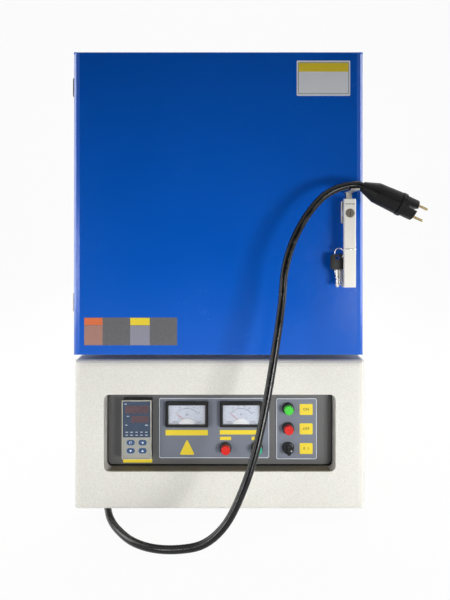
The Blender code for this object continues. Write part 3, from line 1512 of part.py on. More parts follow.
def cord():
    """The mains cord: its gland, the stretch under the base, the stretch on the door, and its plug."""
    outside = back_panel_back + seat_gap
    nut = outside + gland_nut_length
    gland_tip = nut + gland_boot_length
    inside = base_depth - seat_gap
    piece("cord_gland", turned("y", (gland_x, gland_z), [
        (gland_thread_radius, inside - gland_nut_length), (gland_thread_radius, outside), (gland_radius, outside),
        (gland_radius, nut), (gland_thread_radius, nut + overrun), (gland_tip_radius, gland_tip)]), "black_plastic")
    start = Vector((gland_x, gland_tip + seat_gap, gland_z))
    end = Vector(plug_neck_place)
    lead_in = start + Vector((0, cord_radius, 0))
    lead_out = end - Vector((cos(plug_dip), 0, -sin(plug_dip))) * cord_radius
    run, length = smooth_route([lead_in] + under_route + free_route + [lead_out], route_step)
    whole = [start] + run + [end]
    joint_place = Vector(free_route[0])
    split = min(range(len(whole)), key=lambda i: (whole[i] - joint_place).length)
    along = (whole[split + 1] - whole[split - 1]).normalized()
    middle = whole[split]
    under = whole[:split] + [middle - along * cord_radius, middle - along * seat_gap / 2]
    free = [middle + along * seat_gap / 2, middle + along * cord_radius] + whole[split + 1:]
    tube("cord_under", [under], [[cord_radius] * len(under)], "dark_rubber")
    tube("cord_free", [free], [[cord_radius] * len(free)], "dark_rubber", door_body)
    mains_plug(end)


def mains_plug(cord_end):
    """A round rubber plug on a tilted axis, with a slotted nose and two round pins."""
    ridge = plug_body_length
    nose = ridge + plug_ridge_length
    tip = nose + plug_nose_length
    start = seat_gap
    groove = plug_ridge_depth
    outline = [(plug_neck_radius - groove, start), (plug_neck_radius, start + groove),
               (plug_swell_radius, plug_swell_length), (plug_full_radius - groove, ridge - 2 * groove),
               (plug_full_radius - 2 * groove, ridge - groove), (plug_full_radius, ridge), (plug_full_radius, nose),
               (plug_nose_radius, nose + groove), (plug_nose_radius, tip - groove), (plug_nose_radius - groove, tip)]
    lay = Matrix.Translation(Vector(cord_end)) @ Matrix.Rotation(plug_dip, 4, "Y")
    plug = piece("plug_body", moved(turned("x", (0, 0), outline), lay), "dark_rubber", door_body)
    slot = slab((tip - plug_slot_depth / 2 + overrun, 0, 0),
                (plug_slot_depth + 2 * overrun, 3 * plug_nose_radius, plug_slot_width))
    cut(plug, "nose_slot", moved(slot, lay), door_body)
    seats, pins = [], []
    for side in (-1, 1):
        middle = (0, side * pin_spacing / 2)
        seats.append(turned("x", middle, [(pin_radius + seat_gap, tip - pin_seat), (pin_radius + seat_gap, tip + overrun)],
                            small_sides))
        pins.append(turned("x", middle, [(pin_radius, tip - pin_seat + seat_gap), (pin_radius, tip + pin_reach - pin_radius / 2),
                                         (pin_radius / 2, tip + pin_reach)], small_sides))
    bridge_low = tip - pin_seat
    bridge = (pin_radius, pin_radius, pin_spacing)
    room = [size + 2 * seat_gap for size in bridge]
    middle = (bridge_low + pin_radius / 2 + seat_gap, 0, 0)
    cut(plug, "pin_seats", moved(together(*seats), lay), door_body)
    cut(plug, "bridge_seat", moved(slab(middle, room), lay), door_body)
    metal = piece("plug_pins", moved(together(*pins), lay), "steel", door_body)
    join(metal, "bridge", moved(slab(middle, bridge), lay), door_body)


cord()
bpy.context.view_layer.update()
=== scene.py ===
import json
from math import atan2, cos, pi, radians, sin, sqrt

import bpy
from bpy.props import FloatProperty, FloatVectorProperty, IntProperty, PointerProperty
from mathutils import Matrix, Vector


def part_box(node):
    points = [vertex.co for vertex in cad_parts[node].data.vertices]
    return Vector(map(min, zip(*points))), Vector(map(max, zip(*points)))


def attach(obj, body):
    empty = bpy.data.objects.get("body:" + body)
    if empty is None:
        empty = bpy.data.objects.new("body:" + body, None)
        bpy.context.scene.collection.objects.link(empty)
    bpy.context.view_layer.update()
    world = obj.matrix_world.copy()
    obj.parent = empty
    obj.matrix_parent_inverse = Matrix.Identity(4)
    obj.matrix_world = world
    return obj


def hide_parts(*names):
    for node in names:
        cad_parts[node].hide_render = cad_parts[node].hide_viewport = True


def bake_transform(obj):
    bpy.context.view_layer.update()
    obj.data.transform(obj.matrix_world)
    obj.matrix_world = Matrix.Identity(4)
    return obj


bl_info = {
    "name": "Dental Lab Furnace",
    "version": (1, 0, 0),
    "blender": (4, 5, 0),
    "location": "View3D > Sidebar > Furnace",
    "description": "Finishes, printing and small parts of a dental lab furnace",
    "category": "Object",
}

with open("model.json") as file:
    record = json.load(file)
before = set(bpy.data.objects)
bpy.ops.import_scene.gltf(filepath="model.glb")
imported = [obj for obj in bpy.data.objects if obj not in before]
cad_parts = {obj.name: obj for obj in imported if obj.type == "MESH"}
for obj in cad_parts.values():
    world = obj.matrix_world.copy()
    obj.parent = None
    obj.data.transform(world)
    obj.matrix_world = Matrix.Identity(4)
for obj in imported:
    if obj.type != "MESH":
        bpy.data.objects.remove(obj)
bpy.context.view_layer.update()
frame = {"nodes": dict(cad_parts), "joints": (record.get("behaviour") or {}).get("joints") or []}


# ---- places and colours ----------------------------------------------------

base_low, base_high = (Vector(corner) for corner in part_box("base_shell"))
home = Vector(((base_low.x + base_high.x) / 2, base_low.y, 0.0))
front = home.y

# how far print stands off a face
LIFT = 0.00002


def at(x, y, z):
    """The place of a point given from the cabinet's centre line, front plane and floor"""
    return home + Vector((x, y, z))


def corners(node):
    """The lowest and highest corners of a solid's box"""
    return tuple(Vector(corner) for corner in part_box(node))


def middle(node):
    """The middle of a solid's box"""
    low, high = corners(node)
    return (low + high) / 2


def joint_place(name):
    """The point that a joint turns about"""
    return Vector(next(joint["pos_m"] for joint in frame["joints"] if joint["name"] == name))


def tone(red, green, blue):
    """The linear colour of three screen values from 0 to 255"""
    parts = []
    for value in (red, green, blue):
        share = value / 255
        parts.append(share / 12.92 if share <= 0.04045 else ((share + 0.055) / 1.055) ** 2.4)
    return (*parts, 1.0)


def colour_field(label, words, screen):
    """A colour that a user can change, starting at three screen values"""
    return FloatVectorProperty(
        name=label, description=words, default=tone(*screen), size=4, min=0.0, max=1.0, subtype="COLOR"
    )


def length_field(label, words, metres):
    """A length that a user can change"""
    return FloatProperty(name=label, description=words, default=metres, min=0.0, precision=4, unit="LENGTH")


def power_field(label, words, watts):
    """A lamp's power"""
    return FloatProperty(name=label, description=words, default=watts, unit="POWER")


class StageSettings(bpy.types.PropertyGroup):
    """Camera, lamps and floor"""

    camera_reach: length_field("Camera Reach", "From the camera to the cabinet's front plane", 0.95)
    camera_height: length_field("Camera Height", "From the floor to the camera", 0.457)
    camera_side: length_field("Camera Side", "From the cabinet's centre line to the camera", 0.0086)
    lens: FloatProperty(name="Lens", description="Focal length", default=35.11, min=10, max=200, unit="CAMERA")
    frame_shift: FloatProperty(
        name="Frame Shift", description="Vertical shift of the picture, in long sides", default=-0.1, min=-1, max=1
    )
    floor_colour: colour_field("Floor Colour", "Paper under and behind the furnace", (250, 250, 250))
    low_lamp: power_field("Low Lamp", "Front lamps aimed at the base, together", 2.5)
    side_lamp: power_field("Side Lamp", "Soft lamp at each side", 14.0)
    back_lamp: power_field("Back Lamp", "Soft lamp behind", 18.0)
    top_lamp: power_field("Top Lamp", "Soft lamp overhead", 12.0)
    room_light: FloatProperty(name="Room Light", description="Even light of the room", default=0.12, min=0, max=2)
    paper_glow: FloatProperty(
        name="Paper Glow", description="How much of the paper's white comes without light on it", default=0.95,
        min=0, max=1
    )


class PaintSettings(bpy.types.PropertyGroup):
    """Colours of the coated sheet metal and of the printing"""

    door_blue: colour_field("Door Blue", "Gloss coat of the door", (0, 92, 202))
    cabinet_white: colour_field("Cabinet White", "Speckled coat of base and cabinet", (226, 224, 215))
    fascia_grey: colour_field("Fascia Grey", "Console insert", (94, 94, 94))
    plate_grey: colour_field("Plate Grey", "Console plates", (114, 120, 133))
    # The ledge is coloured olive, far darker than the cabinet white: painted shade of the recess floor under the
    # console insert.
    sill_olive: colour_field("Sill Painted Shade", "Ledge under the console insert", (126, 118, 98))
    label_yellow: colour_field("Label Yellow", "Plain yellow strips", (238, 212, 42))
    label_silver: colour_field("Label Silver", "Light field of the door's upper plate", (240, 243, 248))
    label_orange: colour_field("Label Orange", "Header of the door's lower strip", (222, 110, 58))
    label_slate: colour_field("Label Slate", "Dark fields of the door's lower strip", (94, 94, 97))
    line_white: colour_field("Line White", "Thin outline of the console plates", (226, 230, 236))


class ConsoleSettings(bpy.types.PropertyGroup):
    """Sizes of the console's small parts"""

    line_width: length_field("Line Width", "Outline of the console plates", 0.0008)
    film: length_field("Film", "Thickness of labels and printing", 0.00012)
    arc_radius: length_field("Arc Radius", "Scale of the meters, from the needle's pivot", 0.0222)
    collar_lip: length_field("Collar Lip", "How far a collar piece stands over the plate's collar", 0.00025)


class CordSettings(bpy.types.PropertyGroup):
    """Mains lead"""

    radius: length_field("Cord Radius", "Half the lead's diameter", 0.006)
    rubber: colour_field("Rubber", "Sheath of the lead and the plug", (13, 13, 14))
    sides: IntProperty(name="Sides", description="Faces round the lead", default=14, min=6, max=32)


class ChamberSettings(bpy.types.PropertyGroup):
    """Fibre lining"""

    fibre_white: colour_field("Fibre White", "Vacuum-formed boards", (238, 234, 222))
    hearth_cream: colour_field("Hearth Cream", "Hearth plate", (226, 210, 178))


# ---- meshes ----------------------------------------------------------------


def rounded(width, height, radius, steps=5):
    """Points round a rectangle with rounded corners, centred on zero"""
    points = []
    for turn, (right, up) in enumerate(((1, 1), (-1, 1), (-1, -1), (1, -1))):
        for step in range(steps + 1):
            angle = pi / 2 * (turn + step / steps)
            points.append(
                (right * (width / 2 - radius) + radius * cos(angle), up * (height / 2 - radius) + radius * sin(angle))
            )
    return points


def circle(radius, sides):
    """Points round a circle, centred on zero"""
    return [(radius * cos(2 * pi * step / sides), radius * sin(2 * pi * step / sides)) for step in range(sides)]


def polygon(corners, radius, steps=4):
    """A closed outline through corners, each rounded to the radius"""
    points = []
    count = len(corners)
    for index in range(count):
        before, here, after = (Vector(corners[(index + move) % count]) for move in (-1, 0, 1))
        back, ahead = (before - here).normalized(), (after - here).normalized()
        half = back.angle(ahead) / 2
        reach = radius / sin(half) * cos(half)
        start, stop = here + back * reach, here + ahead * reach
        centre = here + (back + ahead).normalized() * (radius / sin(half))
        first, last = start - centre, stop - centre
        for step in range(steps + 1):
            share = step / steps
            points.append(tuple(centre + first.lerp(last, share).normalized() * radius))
    return points


def facing(outline, x, y, z):
    """An outline set upright in the front view, at the depth y"""
    return [Vector((x + across, y, z + up)) for across, up in outline]


def smooth_path(points, gap):
    """Points on one smooth curve through the route, about a gap apart"""
    ends = [points[0] * 2 - points[1], *points, points[-1] * 2 - points[-2]]
    line = []
    for index in range(1, len(ends) - 2):
        a, b, c, d = ends[index - 1 : index + 3]
        parts = max(1, round((c - b).length / gap))
        for step in range(parts):
            t = step / parts
            line.append(
                (b * 2 + (c - a) * t + (a * 2 - b * 5 + c * 4 - d) * t * t + (b * 3 - a - c * 3 + d) * t**3) / 2
            )
    return [*line, points[-1]]


class Stock:
    """Points and faces gathered for one piece, with the finish of each face"""

    def __init__(self):
        self.points, self.faces, self.marks, self.finishes = [], [], [], []

    def add(self, points, faces, finish):
        """Adds points and the faces between them"""
        if finish not in self.finishes:
            self.finishes.append(finish)
        start = len(self.points)
        self.points.extend(Vector(point) for point in points)
        self.faces.extend([start + corner for corner in face] for face in faces)
        self.marks.extend([self.finishes.index(finish)] * len(faces))

    def loft(self, rings, finish, loop=False, caps=True):
        """A skin over rings of equal counts, closed at its ends or onto itself"""
        count = len(rings[0])
        points = [point for ring in rings for point in ring]
        faces = []
        spans = len(rings) if loop else len(rings) - 1
        for span in range(spans):
            here, there = span * count, (span + 1) % len(rings) * count
            for side in range(count):
                ahead = (side + 1) % count
                faces.append((here + side, here + ahead, there + ahead, there + side))
        if caps and not loop:
            faces.append(tuple(reversed(range(count))))
            faces.append(tuple(range((len(rings) - 1) * count, len(rings) * count)))
        self.add(points, faces, finish)

    def plate(self, outline, x, z, back, proud, finish, edge=0.0):
        """A flat plate in the front view, proud of the depth back, with a small bevel"""
        rings = [facing(outline, x, back, z), facing(outline, x, back - proud + edge, z)]
        if edge:
            width = max(abs(point[0]) for point in outline)
            height = max(abs(point[1]) for point in outline)
            inner = [(a * (1 - edge / width), b * (1 - edge / height)) for a, b in outline]
            rings.append(facing(inner, x, back - proud, z))
        self.loft(rings, finish)

    def frame(self, outer, inner, x, z, back, proud, finish):
        """A flat frame between two outlines of equal counts"""
        self.loft(
            [
                facing(outer, x, back, z),
                facing(outer, x, back - proud, z),
                facing(inner, x, back - proud, z),
                facing(inner, x, back, z),
            ],
            finish,
            loop=True,
        )

    def turned(self, profile, centre, axis, finish, sides, loop=False):
        """A turned piece: pairs of radius and reach along the axis"""
        turn = Vector((0, 0, 1)).rotation_difference(Vector(axis)).to_matrix()
        rings = []
        for radius, reach in profile:
            rings.append(
                [Vector(centre) + turn @ Vector((across, up, reach)) for across, up in circle(radius, sides)]
            )
        self.loft(rings, finish, loop)

    def tube(self, path, radius, finish, sides):
        """A round bar along a path"""
        ahead = (path[1] - path[0]).normalized()
        side = ahead.orthogonal().normalized()
        rings = []
        for index, point in enumerate(path):
            before, after = path[max(index - 1, 0)], path[min(index + 1, len(path) - 1)]
            along = (after - before).normalized()
            side = (ahead.rotation_difference(along) @ side).normalized()
            ahead = along
            other = along.cross(side)
            rings.append([point + side * across + other * up for across, up in circle(radius, sides)])
        self.loft(rings, finish)

    def words(self, text, size, x, z, back, film, finish):
        """Plain lettering on a face in the front view"""
        curve = bpy.data.curves.new("lettering", "FONT")
        curve.body, curve.size, curve.extrude = text, size, film / 2
        curve.align_x, curve.align_y = "CENTER", "CENTER"
        curve.resolution_u = 3
        held = bpy.data.objects.new("lettering", curve)
        mesh = bpy.data.meshes.new_from_object(held)
        turn = Matrix.Translation((x, back - film / 2, z)) @ Matrix.Rotation(pi / 2, 4, "X")
        self.add([turn @ v.co for v in mesh.vertices], [tuple(face.vertices) for face in mesh.polygons], finish)
        bpy.data.objects.remove(held)
        bpy.data.curves.remove(curve)
        bpy.data.meshes.remove(mesh)

    def made(self, name, body, crease=32, stands_for=(), slot=None):
        """The finished piece, riding on its body"""
        mesh = bpy.data.meshes.new(name)
        mesh.from_pydata(self.points, [], self.faces)
        for finish in self.finishes:
            mesh.materials.append(finish)
        for face, mark in zip(mesh.polygons, self.marks):
            face.material_index = mark
            face.use_smooth = True
        mesh.validate()
        mesh.set_sharp_from_angle(angle=radians(crease))
        piece = bpy.data.objects.new(name, mesh)
        bpy.context.scene.collection.objects.link(piece)
        if body:
            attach(piece, body)
        if stands_for:
            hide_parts(*stands_for)
        return piece


# ---- shader groups ---------------------------------------------------------


def place(tree, kind, feeds=None, **settings):
    """A shader node; feeds gives its inputs, each a value or the socket that drives it"""
    made = tree.nodes.new("ShaderNode" + kind)
    for key, value in settings.items():
        setattr(made, key, value)
    for key, value in (feeds or {}).items():
        if isinstance(value, bpy.types.NodeSocket):
            tree.links.new(value, made.inputs[key])
        else:
            made.inputs[key].default_value = value
    return made


def calc(tree, operation, *values, clamp=False):
    """The result of a sum on one to three values or sockets"""
    made = place(tree, "Math", dict(enumerate(values)), operation=operation, use_clamp=clamp)
    return made.outputs[0]


def mixed(tree, share, first, second, mode="MIX"):
    """Two colours mixed by a share"""
    made = place(tree, "Mix", {0: share, 6: first, 7: second}, data_type="RGBA", blend_type=mode,
                 clamp_result=True)
    return made.outputs[2]


def spread(tree, value, low, high, out_low=0.0, out_high=1.0):
    """A value stretched from one range to another"""
    made = place(tree, "MapRange", {0: value, 1: low, 2: high, 3: out_low, 4: out_high}, clamp=True)
    return made.outputs[0]


def dimmed(tree, colour, gain):
    """A colour scaled by a value"""
    return place(tree, "VectorMath", {0: colour, "Scale": gain}, operation="SCALE").outputs[0]


def noise(tree, scale, detail=3.0, rough=0.55, where=None, stretch=None):
    """Noise over the piece's own coordinates, stretched where asked"""
    spot = where or place(tree, "TexCoord").outputs["Object"]
    if stretch:
        spot = place(tree, "Mapping", {"Vector": spot, "Scale": stretch}).outputs[0]
    return place(tree, "TexNoise", {"Vector": spot, "Scale": scale, "Detail": detail, "Roughness": rough}).outputs[0]


def effect(name, inputs, outputs):
    """A new shader group with named inputs and outputs, and its two end nodes"""
    tree = bpy.data.node_groups.new(name, "ShaderNodeTree")
    kinds = {"c": "NodeSocketColor", "f": "NodeSocketFloat", "v": "NodeSocketVector"}
    for label, kind, value in inputs:
        tree.interface.new_socket(name=label, in_out="INPUT", socket_type=kinds[kind]).default_value = value
    for label, kind in outputs:
        tree.interface.new_socket(name=label, in_out="OUTPUT", socket_type=kinds[kind])
    return tree, tree.nodes.new("NodeGroupInput").outputs, tree.nodes.new("NodeGroupOutput").inputs


def coat_grain():
    """Powder coat: fine specks, slow cloudiness and orange peel"""
    tree, given, put = effect(
        "Coat Grain",
        [("Colour", "c", (0.8, 0.8, 0.8, 1)), ("Speck Colour", "c", (1, 1, 1, 1)), ("Specks", "f", 0.2),
         ("Scale", "f", 900.0), ("Roughness", "f", 0.4)],
        [("Colour", "c"), ("Roughness", "f"), ("Height", "f")],
    )
    fine = noise(tree, given["Scale"], 2.0, 0.6)
    coarse = noise(tree, calc(tree, "MULTIPLY", given["Scale"], 0.33), 3.0, 0.6)
    slow = noise(tree, 6.0, 3.0)
    specks = calc(tree, "MULTIPLY", spread(tree, fine, 0.53, 0.72), given["Specks"])
    dark = calc(tree, "MULTIPLY", spread(tree, fine, 0.47, 0.30), calc(tree, "MULTIPLY", given["Specks"], 0.55))
    tinted = mixed(tree, specks, given["Colour"], given["Speck Colour"])
    tinted = mixed(tree, dark, tinted, mixed(tree, 1.0, given["Colour"], (0.45, 0.44, 0.43, 1), "MULTIPLY"))
    cloud = spread(tree, slow, 0.3, 0.7, 0.975, 1.02)
    tree.links.new(dimmed(tree, tinted, cloud), put["Colour"])
    rough = calc(tree, "ADD", given["Roughness"], spread(tree, slow, 0.3, 0.7, -0.03, 0.05))
    tree.links.new(calc(tree, "ADD", rough, spread(tree, coarse, 0.3, 0.7, -0.03, 0.03)), put["Roughness"])
    tree.links.new(calc(tree, "ADD", calc(tree, "MULTIPLY", fine, 0.5), coarse), put["Height"])
    return tree


def edge_wear():
    """Paler rubbed edges, found where the rounded normal leaves the face"""
    tree, given, put = effect(
        "Edge Wear",
        [("Colour", "c", (0.5, 0.5, 0.5, 1)), ("Bare Colour", "c", (0.8, 0.8, 0.8, 1)), ("Width", "f", 0.0012),
         ("Amount", "f", 0.4)],
        [("Colour", "c"), ("Mask", "f")],
    )
    soft = place(tree, "Bevel", {"Radius": given["Width"]}, samples=4).outputs[0]
    flat = place(tree, "NewGeometry").outputs["Normal"]
    match = place(tree, "VectorMath", {0: soft, 1: flat}, operation="DOT_PRODUCT").outputs["Value"]
    edge = spread(tree, match, 0.995, 0.80)
    broken = spread(tree, noise(tree, 130.0, 4.0, 0.65), 0.38, 0.62)
    mask = calc(tree, "MULTIPLY", calc(tree, "MULTIPLY", edge, broken), given["Amount"], clamp=True)
    tree.links.new(mixed(tree, mask, given["Colour"], given["Bare Colour"]), put["Colour"])
    tree.links.new(mask, put["Mask"])
    return tree


def settled_dust():
    """A thin film of dust on faces that look up, broken by noise"""
    tree, given, put = effect(
        "Settled Dust",
        [("Colour", "c", (0.5, 0.5, 0.5, 1)), ("Dust Colour", "c", (0.7, 0.68, 0.62, 1)), ("Amount", "f", 0.15)],
        [("Colour", "c"), ("Mask", "f")],
    )
    normal = place(tree, "NewGeometry").outputs["Normal"]
    up = spread(tree, place(tree, "SeparateXYZ", {0: normal}).outputs[2], 0.3, 0.95)
    patch = spread(tree, noise(tree, 28.0, 5.0, 0.7), 0.35, 0.7, 0.25, 1.0)
    mask = calc(tree, "MULTIPLY", calc(tree, "MULTIPLY", up, patch), given["Amount"], clamp=True)
    tree.links.new(mixed(tree, mask, given["Colour"], given["Dust Colour"]), put["Colour"])
    tree.links.new(mask, put["Mask"])
    return tree


def brushed():
    """Metal drawn or brushed along one way: long fine streaks and cloudy tarnish"""
    tree, given, put = effect(
        "Brushed Metal",
        [("Colour", "c", (0.6, 0.6, 0.6, 1)), ("Dull Colour", "c", (0.4, 0.4, 0.4, 1)), ("Stretch", "v", (1, 1, 30)),
         ("Scale", "f", 160.0), ("Roughness", "f", 0.35)],
        [("Colour", "c"), ("Roughness", "f"), ("Height", "f")],
    )
    spot = place(tree, "TexCoord").outputs["Object"]
    drawn = place(tree, "VectorMath", {0: spot, 1: given["Stretch"]}, operation="MULTIPLY").outputs[0]
    streak = noise(tree, given["Scale"], 4.0, 0.65, where=drawn)
    tarnish = noise(tree, 18.0, 4.0, 0.6)
    colour = mixed(tree, spread(tree, tarnish, 0.42, 0.68, 0.0, 0.7), given["Colour"], given["Dull Colour"])
    shade_by = spread(tree, streak, 0.3, 0.7, 0.88, 1.06)
    tree.links.new(dimmed(tree, colour, shade_by), put["Colour"])
    rough = calc(tree, "ADD", given["Roughness"], spread(tree, streak, 0.3, 0.7, -0.08, 0.10))
    tree.links.new(calc(tree, "ADD", rough, spread(tree, tarnish, 0.4, 0.7, 0.0, 0.12)), put["Roughness"])
    tree.links.new(streak, put["Height"])
    return tree


def moulded():
    """Moulded plastic or rubber: a fine even grain with faint flow marks"""
    tree, given, put = effect(
        "Moulded Grain",
        [("Colour", "c", (0.05, 0.05, 0.05, 1)), ("Scale", "f", 1600.0), ("Roughness", "f", 0.45),
         ("Variation", "f", 0.12)],
        [("Colour", "c"), ("Roughness", "f"), ("Height", "f")],
    )
    fine = noise(tree, given["Scale"], 2.0, 0.5)
    flow = noise(tree, 35.0, 4.0, 0.6, stretch=(1, 1, 2.5))
    swing = calc(tree, "MULTIPLY", spread(tree, flow, 0.3, 0.7, -1, 1), given["Variation"])
    gain = calc(tree, "ADD", 1.0, swing)
    tree.links.new(dimmed(tree, given["Colour"], gain), put["Colour"])
    rough = calc(tree, "ADD", given["Roughness"], calc(tree, "MULTIPLY", swing, 0.6))
    tree.links.new(calc(tree, "ADD", rough, spread(tree, fine, 0.3, 0.7, -0.05, 0.05)), put["Roughness"])
    tree.links.new(fine, put["Height"])
    return tree


def fibre_felt():
    """Vacuum-formed fibre board: matted strands, shot specks and hairline crazing"""
    tree, given, put = effect(
        "Fibre Felt",
        [("Colour", "c", (0.85, 0.82, 0.75, 1)), ("Scorch Colour", "c", (0.62, 0.5, 0.36, 1)), ("Scorch", "f", 0.25)],
        [("Colour", "c"), ("Roughness", "f"), ("Height", "f")],
    )
    strands = noise(tree, 420.0, 5.0, 0.75, stretch=(1, 3.5, 1))
    matted = noise(tree, 60.0, 6.0, 0.7)
    craze = place(tree, "TexVoronoi", {"Vector": place(tree, "TexCoord").outputs["Object"], "Scale": 22.0},
                  feature="DISTANCE_TO_EDGE").outputs[0]
    crack = spread(tree, craze, 0.012, 0.0)
    burnt = calc(tree, "MULTIPLY", spread(tree, noise(tree, 9.0, 4.0, 0.6), 0.45, 0.75), given["Scorch"])
    colour = mixed(tree, burnt, given["Colour"], given["Scorch Colour"])
    colour = mixed(tree, calc(tree, "MULTIPLY", crack, 0.35), colour, (0.42, 0.38, 0.32, 1))
    shade_by = calc(tree, "MULTIPLY", spread(tree, matted, 0.3, 0.7, 0.93, 1.03),
                    spread(tree, strands, 0.3, 0.7, 0.95, 1.03))
    tree.links.new(dimmed(tree, colour, shade_by), put["Colour"])
    tree.links.new(spread(tree, matted, 0.3, 0.7, 0.86, 0.98), put["Roughness"])
    height = calc(tree, "ADD", calc(tree, "MULTIPLY", strands, 0.4), matted)
    tree.links.new(calc(tree, "SUBTRACT", height, calc(tree, "MULTIPLY", crack, 0.8)), put["Height"])
    return tree


def handling_marks():
    """Smudges and hairline scratches that hands and cloths leave on a gloss face"""
    tree, given, put = effect(
        "Handling Marks", [("Roughness", "f", 0.3), ("Amount", "f", 0.3)], [("Roughness", "f"), ("Height", "f")]
    )
    smudge = spread(tree, noise(tree, 11.0, 5.0, 0.62), 0.5, 0.72)
    hair = spread(tree, noise(tree, 90.0, 3.0, 0.5, stretch=(1, 1, 14)), 0.62, 0.70)
    marks = calc(tree, "ADD", calc(tree, "MULTIPLY", smudge, 0.16), calc(tree, "MULTIPLY", hair, 0.10))
    marked = calc(tree, "MULTIPLY", marks, given["Amount"])
    tree.links.new(calc(tree, "ADD", given["Roughness"], marked), put["Roughness"])
    tree.links.new(hair, put["Height"])
    return tree


EFFECTS = {
    "Coat Grain": coat_grain, "Edge Wear": edge_wear, "Settled Dust": settled_dust, "Brushed Metal": brushed,
    "Moulded Grain": moulded, "Fibre Felt": fibre_felt, "Handling Marks": handling_marks,
}


def use(tree, name, feeds):
    """One of the shader groups placed in a material"""
    made = tree.nodes.new("ShaderNodeGroup")
    made.node_tree = bpy.data.node_groups.get(name) or EFFECTS[name]()
    made.label = name
    for key, value in feeds.items():
        if isinstance(value, bpy.types.NodeSocket):
            tree.links.new(value, made.inputs[key])
        else:
            made.inputs[key].default_value = value
    return made.outputs


# ---- finishes --------------------------------------------------------------


def blank(name, **plain):
    """A new material with its shader's plain values set"""
    material = bpy.data.materials.new(name)
    material.use_nodes = True
    shader = material.node_tree.nodes["Principled BSDF"]
    for key, value in plain.items():
        shader.inputs[key.replace("_", " ")].default_value = value
    material.diffuse_color = (0.6, 0.6, 0.6, 1)
    return material, material.node_tree, shader.inputs


def bumped(tree, slots, height, distance, strength=1.0):
    """Feeds a height to the shader's normal"""
    bump = place(tree, "Bump", {"Height": height, "Distance": distance, "Strength": strength})
    tree.links.new(bump.outputs[0], slots["Normal"])


def covered(tree, slots, grain, rough, bare, width, wear, dust, dust_rough, depth):
    """Rubbed edges, settled dust and relief over a grain, fed to the shader"""
    worn = use(tree, "Edge Wear", {"Colour": grain["Colour"], "Bare Colour": bare, "Amount": wear, "Width": width})
    dusty = use(tree, "Settled Dust", {"Colour": worn["Colour"], "Amount": dust})
    tree.links.new(dusty["Colour"], slots["Base Color"])
    film = calc(tree, "MULTIPLY", dusty["Mask"], dust_rough)
    tree.links.new(calc(tree, "ADD", rough, film, clamp=True), slots["Roughness"])
    bumped(tree, slots, grain["Height"], depth)


def coated(name, colour, speck=(1, 1, 1, 1), specks=0.2, scale=900.0, rough=0.42, depth=0.00008, wear=0.3,
           bare=(0.75, 0.75, 0.74, 1), dust=0.12, marks=0.3, **plain):
    """Powder-coated or printed sheet"""
    material, tree, slots = blank(name, **plain)
    grain = use(tree, "Coat Grain", {"Colour": colour, "Speck Colour": speck, "Specks": specks, "Scale": scale,
                                     "Roughness": rough})
    handled = use(tree, "Handling Marks", {"Roughness": grain["Roughness"], "Amount": marks})
    covered(tree, slots, grain, handled["Roughness"], bare, 0.0012, wear, dust, 0.4, depth)
    return material


def printed(name, colour, specks, rough=0.45, scale=1300, **more):
    """Thin printed film, without dust"""
    return coated(name, colour, specks=specks, scale=scale, rough=rough, depth=0.00001, dust=0, **more)


def metal(name, colour, dull, stretch=(1, 1, 0.05), scale=500.0, rough=0.33, depth=0.00003, wear=0.0, dust=0.08,
          **plain):
    """Bare or plated metal"""
    material, tree, slots = blank(name, Metallic=1.0, **plain)
    grain = use(tree, "Brushed Metal", {"Colour": colour, "Dull Colour": dull, "Stretch": stretch, "Scale": scale,
                                        "Roughness": rough})
    covered(tree, slots, grain, grain["Roughness"], (0.85, 0.85, 0.84, 1), 0.0006, wear, dust, 0.3, depth)
    return material


def plastic(name, colour, rough=0.4, scale=1500.0, depth=0.00003, variation=0.12, wear=0.15, dust=0.08, **plain):
    """Moulded plastic or rubber"""
    material, tree, slots = blank(name, **plain)
    grain = use(tree, "Moulded Grain", {"Colour": colour, "Scale": scale, "Roughness": rough, "Variation": variation})
    pale = tuple(min(1.0, part * 1.6 + 0.05) for part in colour[:3])
    covered(tree, slots, grain, grain["Roughness"], (*pale, 1), 0.0005, wear, dust, 0.3, depth)
    return material


def board(name, colour, scorch=0.25, depth=0.0006):
    """Fibre board"""
    material, tree, slots = blank(name)
    felt = use(tree, "Fibre Felt", {"Colour": colour, "Scorch": scorch})
    tree.links.new(felt["Colour"], slots["Base Color"])
    tree.links.new(felt["Roughness"], slots["Roughness"])
    bumped(tree, slots, felt["Height"], depth)
    return material


def clear(name, tint):
    """Clear cover of a meter, with faint wipe marks"""
    material, tree, slots = blank(name, Alpha=0.16)
    wiped = use(tree, "Handling Marks", {"Roughness": 0.03, "Amount": 0.35})
    haze = spread(tree, noise(tree, 45.0, 4.0), 0.3, 0.7)
    tree.links.new(mixed(tree, haze, tint, tuple(part * 0.97 for part in tint[:3]) + (1,)), slots["Base Color"])
    tree.links.new(wiped["Roughness"], slots["Roughness"])
    return material


def lit(name, colour, glow, strength):
    """A small lamp or display segment that shines a little"""
    material, tree, slots = blank(name, Roughness=0.35, Emission_Strength=strength)
    grain = use(tree, "Moulded Grain", {"Colour": colour, "Scale": 900.0, "Roughness": 0.35})
    tree.links.new(grain["Colour"], slots["Base Color"])
    tree.links.new(grain["Roughness"], slots["Roughness"])
    uneven = spread(tree, noise(tree, 300.0), 0.3, 0.7)
    dim = tuple(part * 0.8 for part in glow[:3]) + (1,)
    tree.links.new(mixed(tree, uneven, glow, dim), slots["Emission Color"])
    return material


